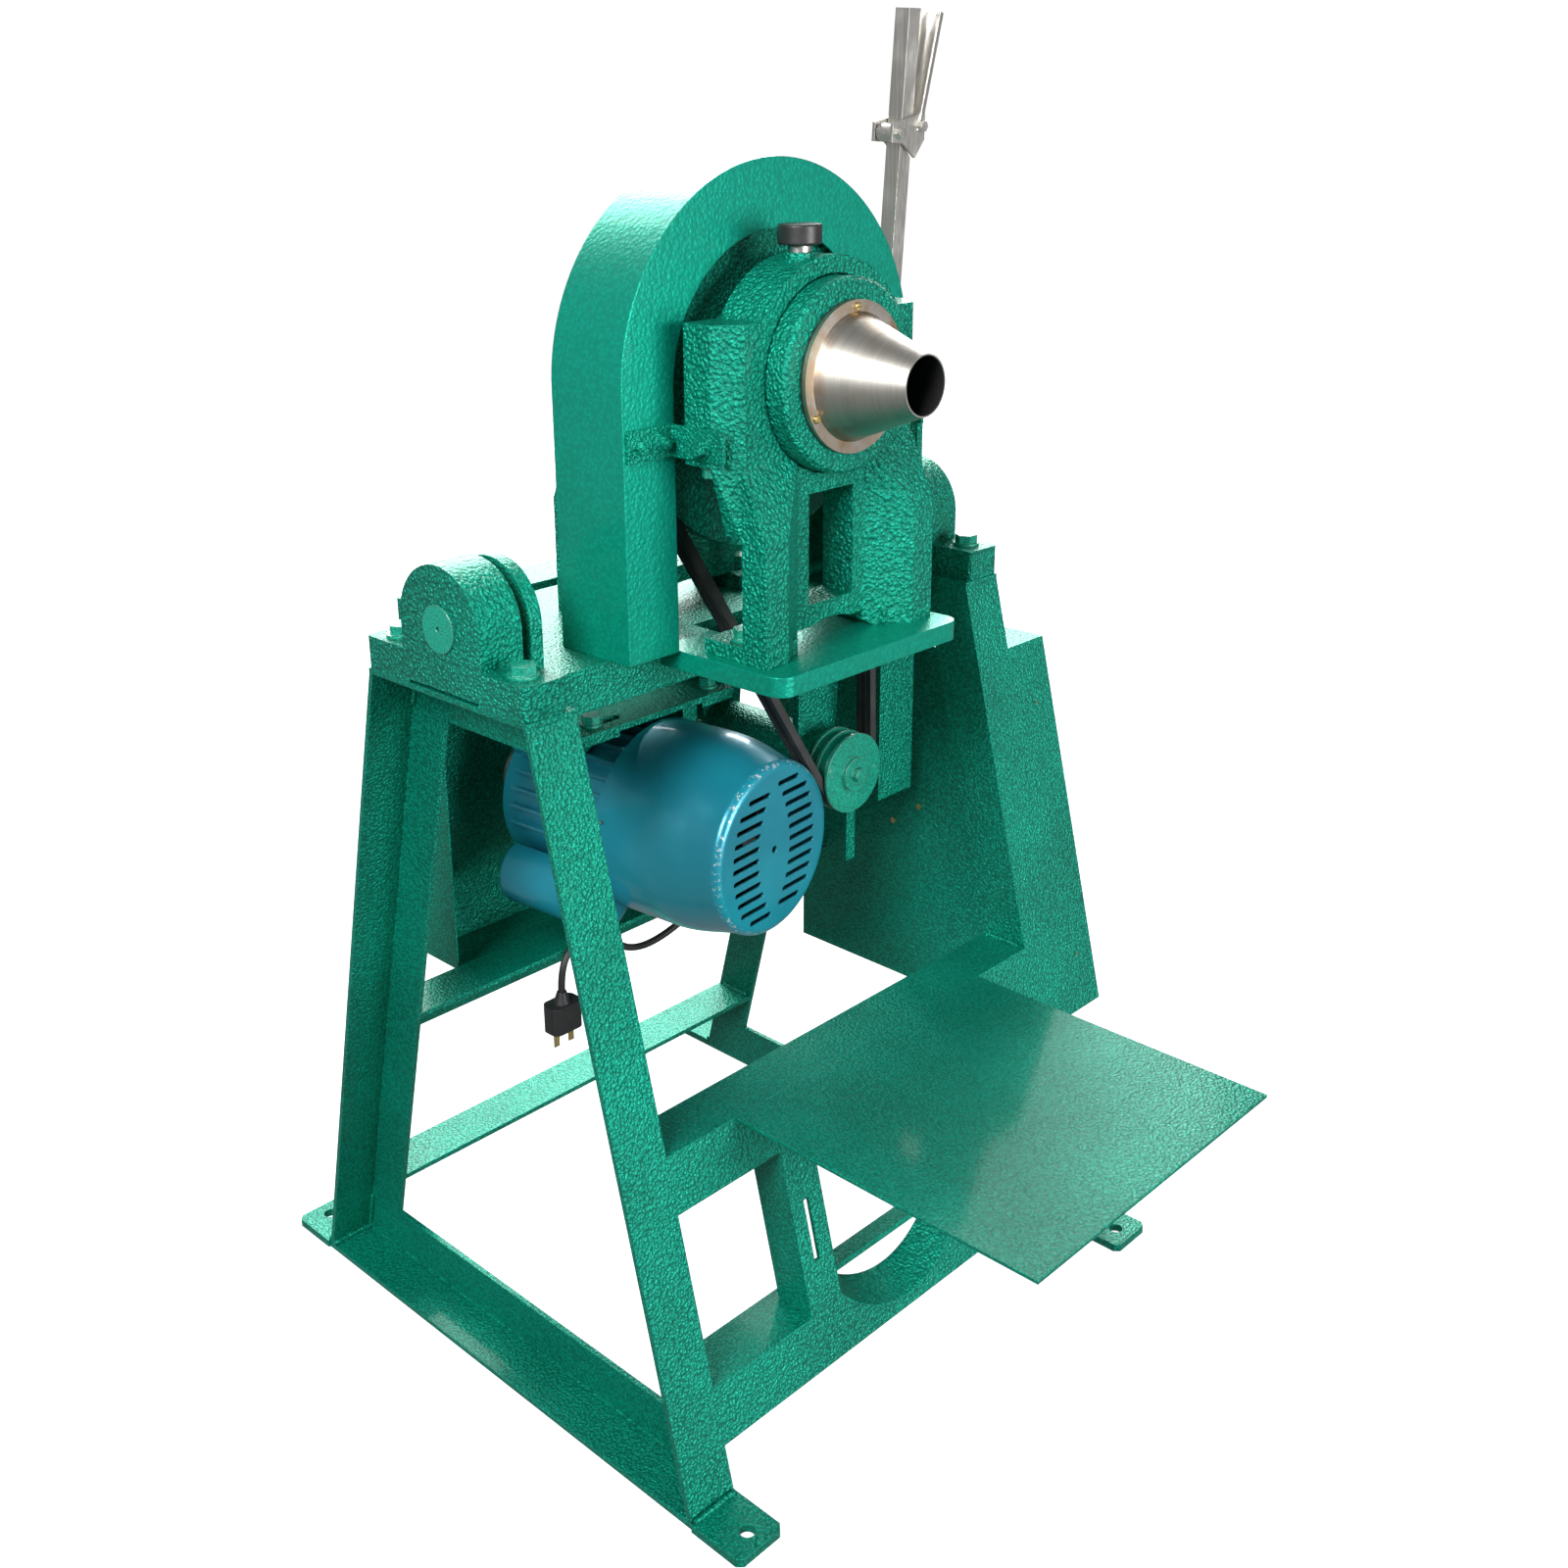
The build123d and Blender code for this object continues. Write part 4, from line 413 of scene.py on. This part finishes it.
def wire(tree, kind, settings=None, **inputs):
    """Adds a node to a geometry tree; a socket is linked, anything else is set."""
    node = tree.nodes.new(kind)
    for key, value in (settings or {}).items():
        setattr(node, key, value)
    for key, value in inputs.items():
        socket = node.inputs[key.replace("_", " ")]
        if isinstance(value, bpy.types.NodeSocket):
            tree.links.new(value, socket)
        else:
            socket.default_value = value
    return node


def bead_tree():
    tree = bpy.data.node_groups.new("weld_bead", "GeometryNodeTree")
    tree.interface.new_socket("Geometry", in_out="INPUT", socket_type="NodeSocketGeometry")
    ids = {"Radius": group_input(tree, "Radius", "NodeSocketFloat", 0.0032),
           "Ripple": group_input(tree, "Ripple", "NodeSocketFloat", 0.0011),
           "Step": group_input(tree, "Step", "NodeSocketFloat", 0.0012),
           "Finish": group_input(tree, "Finish", "NodeSocketMaterial", None)}
    tree.interface.new_socket("Geometry", in_out="OUTPUT", socket_type="NodeSocketGeometry")
    given = tree.nodes.new("NodeGroupInput")
    path = wire(tree, "GeometryNodeMeshToCurve", Mesh=given.outputs["Geometry"])
    even = wire(tree, "GeometryNodeResampleCurve", {"mode": "LENGTH"}, Curve=path.outputs[0],
                Length=given.outputs["Step"])
    section = wire(tree, "GeometryNodeCurvePrimitiveCircle", Resolution=8,
                   Radius=given.outputs["Radius"])
    tube = wire(tree, "GeometryNodeCurveToMesh", Curve=even.outputs[0],
                Profile_Curve=section.outputs["Curve"])
    closed = wire(tree, "FunctionNodeInputBool", {"boolean": True})
    tree.links.new(closed.outputs[0], tube.inputs["Fill Caps"])
    place = wire(tree, "GeometryNodeInputPosition")
    hand = wire(tree, "ShaderNodeTexNoise", Vector=place.outputs[0], Scale=260.0, Detail=2.0)
    centred = wire(tree, "ShaderNodeMath", {"operation": "SUBTRACT"})
    tree.links.new(hand.outputs[0], centred.inputs[0])
    centred.inputs[1].default_value = 0.5
    depth = wire(tree, "ShaderNodeMath", {"operation": "MULTIPLY"})
    tree.links.new(centred.outputs[0], depth.inputs[0])
    tree.links.new(given.outputs["Ripple"], depth.inputs[1])
    scaled = wire(tree, "ShaderNodeVectorMath", {"operation": "SCALE"}, Scale=depth.outputs[0])
    tree.links.new(wire(tree, "GeometryNodeInputNormal").outputs[0], scaled.inputs[0])
    pushed = wire(tree, "GeometryNodeSetPosition", Geometry=tube.outputs[0], Offset=scaled.outputs[0])
    smooth = wire(tree, "GeometryNodeSetShadeSmooth", Geometry=pushed.outputs[0])
    real = wire(tree, "GeometryNodeRealizeInstances", Geometry=smooth.outputs[0])
    made = wire(tree, "GeometryNodeSetMaterial", Geometry=real.outputs[0],
                Material=given.outputs["Finish"])
    tree.links.new(made.outputs[0], tree.nodes.new("NodeGroupOutput").inputs[0])
    return tree, ids


BEAD_TREE, BEAD_INPUTS = bead_tree()


# %% From paths to a plain mesh
def lines_mesh(name, paths):
    """A mesh of edges only, one chain for each path."""
    points, edges = [], []
    for path in paths:
        start = len(points)
        points += path
        edges += [(start + i, start + i + 1) for i in range(len(path) - 1)]
    mesh = bpy.data.meshes.new(name)
    mesh.from_pydata(points, edges, [])
    obj = bpy.data.objects.new(name, mesh)
    bpy.context.scene.collection.objects.link(obj)
    return obj


def grown(obj, tree, values):
    """Runs a tree on an object and leaves the result as a plain mesh."""
    modifier = obj.modifiers.new("grow", "NODES")
    modifier.node_group = tree
    for identifier, value in values.items():
        modifier[identifier] = value
    ready = obj.evaluated_get(bpy.context.evaluated_depsgraph_get())
    mesh = bpy.data.meshes.new_from_object(ready)
    obj.modifiers.remove(modifier)
    obj.data = mesh
    return obj


def welds(name, body, paths, radius):
    obj = grown(lines_mesh(name, paths), BEAD_TREE,
                {BEAD_INPUTS["Radius"]: radius, BEAD_INPUTS["Ripple"]: radius * 0.9,
                 BEAD_INPUTS["Step"]: 0.0014, BEAD_INPUTS["Finish"]: sheet_enamel})
    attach(obj, body)
    print(name, len(paths), "beads,", len(obj.data.polygons), "faces")


# %% [markdown]
# ## Where the beads run
# A leg meets the base rail, the top rail and the cross bars. The front of the stand leans back, so
# the beads on it start from the height and the lean, not from a measured place.

# %% Beads on the stand
BASE_Y = 0.2681          # the front legs' faces at the floor
LEAN = 0.24685           # how far they lean in for each metre of height
HALF_W = 0.300
INNER_X = 0.250
BAR_TOPS = (0.097, 0.300)
RAIL_HEIGHTS = ((0.012, 0.050), (0.622, 0.658))      # where the rails' upright flanges meet the legs
LEG_BEHIND = 0.0065      # from a leg's outer face to just behind it
OFF = 0.001              # how far a bead's middle stands off the corner that it fills


def front_y(z):
    return -(BASE_Y - LEAN * z)


def four_corners(path):
    """The same path at all four legs."""
    return [[(sx * x, sy * y, z) for x, y, z in path] for sx in (-1, 1) for sy in (-1, 1)]


foot_y = front_y(0.006) + 0.006
stand_beads = four_corners([(INNER_X, foot_y, 0.0065), (HALF_W, foot_y, 0.0065)])
for heights in RAIL_HEIGHTS:
    stand_beads += four_corners([(INNER_X + 0.006, front_y(z) + LEG_BEHIND, z) for z in heights])
for top in BAR_TOPS:
    stand_beads += four_corners([(INNER_X - 0.001, front_y(top) + 0.008, top + 0.0005),
                                 (INNER_X - 0.001, front_y(top) + 0.046, top + 0.0005)])
welds("stand_welds", "stand", stand_beads, 0.0026)

foot_beads = four_corners([(INNER_X + 0.002, -BASE_Y - OFF, 0.0085),
                           (HALF_W - OFF, -BASE_Y - OFF, 0.0085)])
welds("foot_welds", "stand", foot_beads, 0.0024)

tray_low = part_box("tray")[0].z
tray_y, tray_z = front_y(tray_low) - 0.0015, tray_low - 0.0015
tray_beads = [[(x - 0.018, tray_y, tray_z), (x + 0.018, tray_y, tray_z)]
              for x in (-0.12, -0.04, 0.04, 0.12)]
welds("tray_welds", "stand", tray_beads, 0.0022)

# %% [markdown]
# ## Beads on the cradle
# The ears are welded to the ends of the deck, with two short beads at each end.

# %% Beads on the cradle
deck_low, deck_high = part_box("cradle_deck")
cradle_beads = [[(x, y0, deck_high.z + OFF), (x, y1, deck_high.z + OFF)]
                for x, gap in ((deck_low.x + OFF, 0.012), (deck_high.x - OFF, 0.014))
                for y0, y1 in ((-0.046, -gap), (gap, 0.046))]
welds("cradle_welds", "cradle", cradle_beads, 0.0026)

# %% [markdown]
# ## Small screws
# The cabinet's front and the fan cover's side are held by small cross-head screws. They repeat, so
# one tree puts a head on each point of a mesh and turns it to face along the point's normal.

# %% The screw tree
def screw_tree():
    tree = bpy.data.node_groups.new("small_screws", "GeometryNodeTree")
    tree.interface.new_socket("Geometry", in_out="INPUT", socket_type="NodeSocketGeometry")
    ids = {"Radius": group_input(tree, "Radius", "NodeSocketFloat", 0.0036),
           "Height": group_input(tree, "Height", "NodeSocketFloat", 0.0022),
           "Finish": group_input(tree, "Finish", "NodeSocketMaterial", None)}
    tree.interface.new_socket("Geometry", in_out="OUTPUT", socket_type="NodeSocketGeometry")
    given = tree.nodes.new("NodeGroupInput")
    points = wire(tree, "GeometryNodeMeshToPoints", Mesh=given.outputs["Geometry"])
    head = wire(tree, "GeometryNodeMeshCone", Vertices=20, Side_Segments=1,
                Radius_Bottom=given.outputs["Radius"], Radius_Top=0.0022, Depth=given.outputs["Height"])
    recess = wire(tree, "GeometryNodeMeshCube", Size=(0.0036, 0.0008, 0.0012))
    lifted = wire(tree, "GeometryNodeTransform", Geometry=recess.outputs[0],
                  Translation=(0.0, 0.0, 0.0019))
    across = wire(tree, "GeometryNodeTransform", Geometry=lifted.outputs[0],
                  Rotation=(0.0, 0.0, pi / 2))
    cross = wire(tree, "GeometryNodeJoinGeometry")
    tree.links.new(lifted.outputs[0], cross.inputs[0])
    tree.links.new(across.outputs[0], cross.inputs[0])
    cut = wire(tree, "GeometryNodeMeshBoolean", {"operation": "DIFFERENCE"})
    tree.links.new(head.outputs["Mesh"], cut.inputs[0])
    tree.links.new(cross.outputs[0], cut.inputs[1])
    aim = wire(tree, "GeometryNodeInputNamedAttribute", {"data_type": "FLOAT_VECTOR"}, Name="aim")
    turn = wire(tree, "FunctionNodeAlignRotationToVector", {"axis": "Z"}, Vector=aim.outputs[0])
    placed = wire(tree, "GeometryNodeInstanceOnPoints", Points=points.outputs[0],
                  Instance=cut.outputs[0], Rotation=turn.outputs[0])
    real = wire(tree, "GeometryNodeRealizeInstances", Geometry=placed.outputs[0])
    made = wire(tree, "GeometryNodeSetMaterial", Geometry=real.outputs[0],
                Material=given.outputs["Finish"])
    tree.links.new(made.outputs[0], tree.nodes.new("NodeGroupOutput").inputs[0])
    return tree, ids


SCREW_TREE, SCREW_INPUTS = screw_tree()


def screws(name, body, places, radius, finish):
    """places holds pairs: where the head sits, and which way it faces."""
    obj = lines_mesh(name, [[place] for place, _ in places])
    aim = obj.data.attributes.new("aim", "FLOAT_VECTOR", "POINT")
    for item, (_, way) in zip(aim.data, places):
        item.vector = way
    grown(obj, SCREW_TREE, {SCREW_INPUTS["Radius"]: radius, SCREW_INPUTS["Finish"]: finish})
    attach(obj, body)


# %% Screws in their places
COVER_R = 0.0962         # the fan cover at its open end, with the screws just proud of it
SLANT = Vector((0.0, -cos(LEAN), sin(LEAN))).normalized()
cabinet_front = [((0.330, front_y(z) - 0.0002, z), SLANT) for z in (0.267, 0.530)]
screws("cabinet_front_screws", "stand", cabinet_front, 0.0036, yellow_zinc)


def on_cover(angle, along):
    """A point on the fan cover's side, and the way out of it. The angle is from +X towards +Z."""
    out = Vector((cos(radians(angle)), 0.0, sin(radians(angle))))
    local = out * COVER_R + Vector((0.0, along, 0.0))
    turn = Matrix.Rotation(MOTOR_YAW, 3, "Z")
    return tuple(MOTOR_START + turn @ local), tuple(turn @ out)


cover_side = [on_cover(angle, 0.130) for angle in (60, 165, 300)]
screws("fan_cover_screws", "cradle", cover_side, 0.0038, yellow_zinc)
print("screws:", len(cabinet_front) + len(cover_side))

# %% [markdown]
# ## The mains lead
# A lead is a fixed length of something springy. It leaves the cabinet through a gland, sags towards
# the rear bar, goes over the bar's edge and hangs from it by its plug. The route is a short list of
# given points, and a NURBS spline of order 3 turns it into one smooth line.

# %% Mains lead
LEAD_R = 0.00375
ROUTE = [(225, 95, 330), (203, 95, 330), (181, 103, 324), (160, 119, 311), (136, 132, 297),
         (108, 137.5, 284), (80, 138, 274), (52, 138.2, 268), (26, 138, 268), (3, 138, 276),
         (-15, 138.6, 294), (-36, 143.5, 308.5), (-60, 140.5, 308), (-79, 136.5, 294), (-84, 137, 272),
         (-84, 137, 260)]
route = [Vector(p) / 1000.0 for p in ROUTE]
curve = bpy.data.curves.new("mains_lead", "CURVE")
curve.dimensions = "3D"
spline = curve.splines.new("NURBS")
spline.points.add(len(route) - 1)
for point, place in zip(spline.points, route):
    point.co = (*place, 1.0)
spline.order_u = 3
spline.use_endpoint_u = True
spline.resolution_u = 8
curve.bevel_depth = LEAD_R
curve.bevel_resolution = 4
curve.use_fill_caps = True
lead = bpy.data.objects.new("mains_lead", curve)
bpy.context.scene.collection.objects.link(lead)
lead.data.materials.append(lead_rubber)
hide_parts("mains_cord")
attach(lead, "stand")

# %% [markdown]
# ## The studio
# A pale floor, a dim room and four large lights: the key on the left, a low fill in front, one
# behind to draw the outline of the guard and the lever, and a very large one far behind that lies
# in the tray and the shelf as a sheen. The room is dim for the machine, so that its inside stays
# dark, and white where nothing stands. The floor throws no light back for the same reason.

# %% Floor and lights
WHITE = (1.0, 1.0, 1.0, 1.0)


def floor_material():
    f = Finish("studio_floor", Base_Color=(0.35, 0.35, 0.35, 1.0), Roughness=0.8,
               Emission_Color=WHITE, Emission_Strength=0.92)
    return f.material


bpy.ops.mesh.primitive_plane_add(size=14.0, location=(0.0, 0.0, -0.0005))
floor = bpy.context.object
floor.name = "studio_floor"
dress(floor, floor_material())
floor.visible_diffuse = False
floor.visible_glossy = False

ROOM = 0.27              # the room's strength as the machine sees it
BACKDROP = 1.05          # and where it is seen directly
world = bpy.data.worlds.new("studio")
bpy.context.scene.world = world
world.use_nodes = True
backdrop = world.node_tree.nodes["Background"]
backdrop.inputs["Color"].default_value = WHITE
rays = world.node_tree.nodes.new("ShaderNodeLightPath")
dimmed = world.node_tree.nodes.new("ShaderNodeMapRange")
dimmed.inputs["To Min"].default_value = ROOM
dimmed.inputs["To Max"].default_value = BACKDROP
world.node_tree.links.new(rays.outputs["Is Camera Ray"], dimmed.inputs["Value"])
world.node_tree.links.new(dimmed.outputs["Result"], backdrop.inputs["Strength"])


def area_light(name, place, aim, size, power):
    lamp = bpy.data.lights.new(name, "AREA")
    lamp.size = size
    lamp.energy = power
    obj = bpy.data.objects.new(name, lamp)
    obj.location = place
    obj.rotation_euler = (Vector(aim) - Vector(place)).to_track_quat("-Z", "Y").to_euler()
    bpy.context.scene.collection.objects.link(obj)


area_light("key", (-2.6, -0.9, 2.4), (0.0, 0.0, 0.6), 1.4, 150.0)
area_light("fill", (0.5, -3.2, 0.9), (0.0, 0.0, 0.45), 1.6, 95.0)
area_light("rim", (0.6, 2.4, 2.6), (0.0, 0.0, 0.8), 1.5, 45.0)
area_light("horizon", (3.2, 3.2, 3.0), (0.0, -0.2, 0.4), 4.0, 430.0)

# %% [markdown]
# ## The camera
# The camera stands at the front left, a little above the spout, and looks down at the machine. Its
# axes are built from the three angles, so that the roll is explicit.

# %% Camera
YAW, PITCH, ROLL = radians(45.0), radians(19.1), radians(-0.8)
ahead = Vector((sin(YAW) * cos(PITCH), cos(YAW) * cos(PITCH), -sin(PITCH)))
level = Vector((cos(YAW), -sin(YAW), 0.0))
upward = level.cross(ahead)
right = level * cos(ROLL) + upward * sin(ROLL)
top = upward * cos(ROLL) - level * sin(ROLL)
camera_data = bpy.data.cameras.new("camera")
camera_data.sensor_width = 36.0
camera_data.lens = 38.98
camera_data.shift_x, camera_data.shift_y = 0.0403, -0.0561
camera = bpy.data.objects.new("camera", camera_data)
camera.matrix_world = Matrix((right, top, -ahead)).transposed().to_4x4()
camera.location = (-1.0524, -1.0664, 1.1072)
bpy.context.scene.collection.objects.link(camera)
bpy.context.scene.camera = camera
bpy.context.scene.view_settings.view_transform = "Standard"
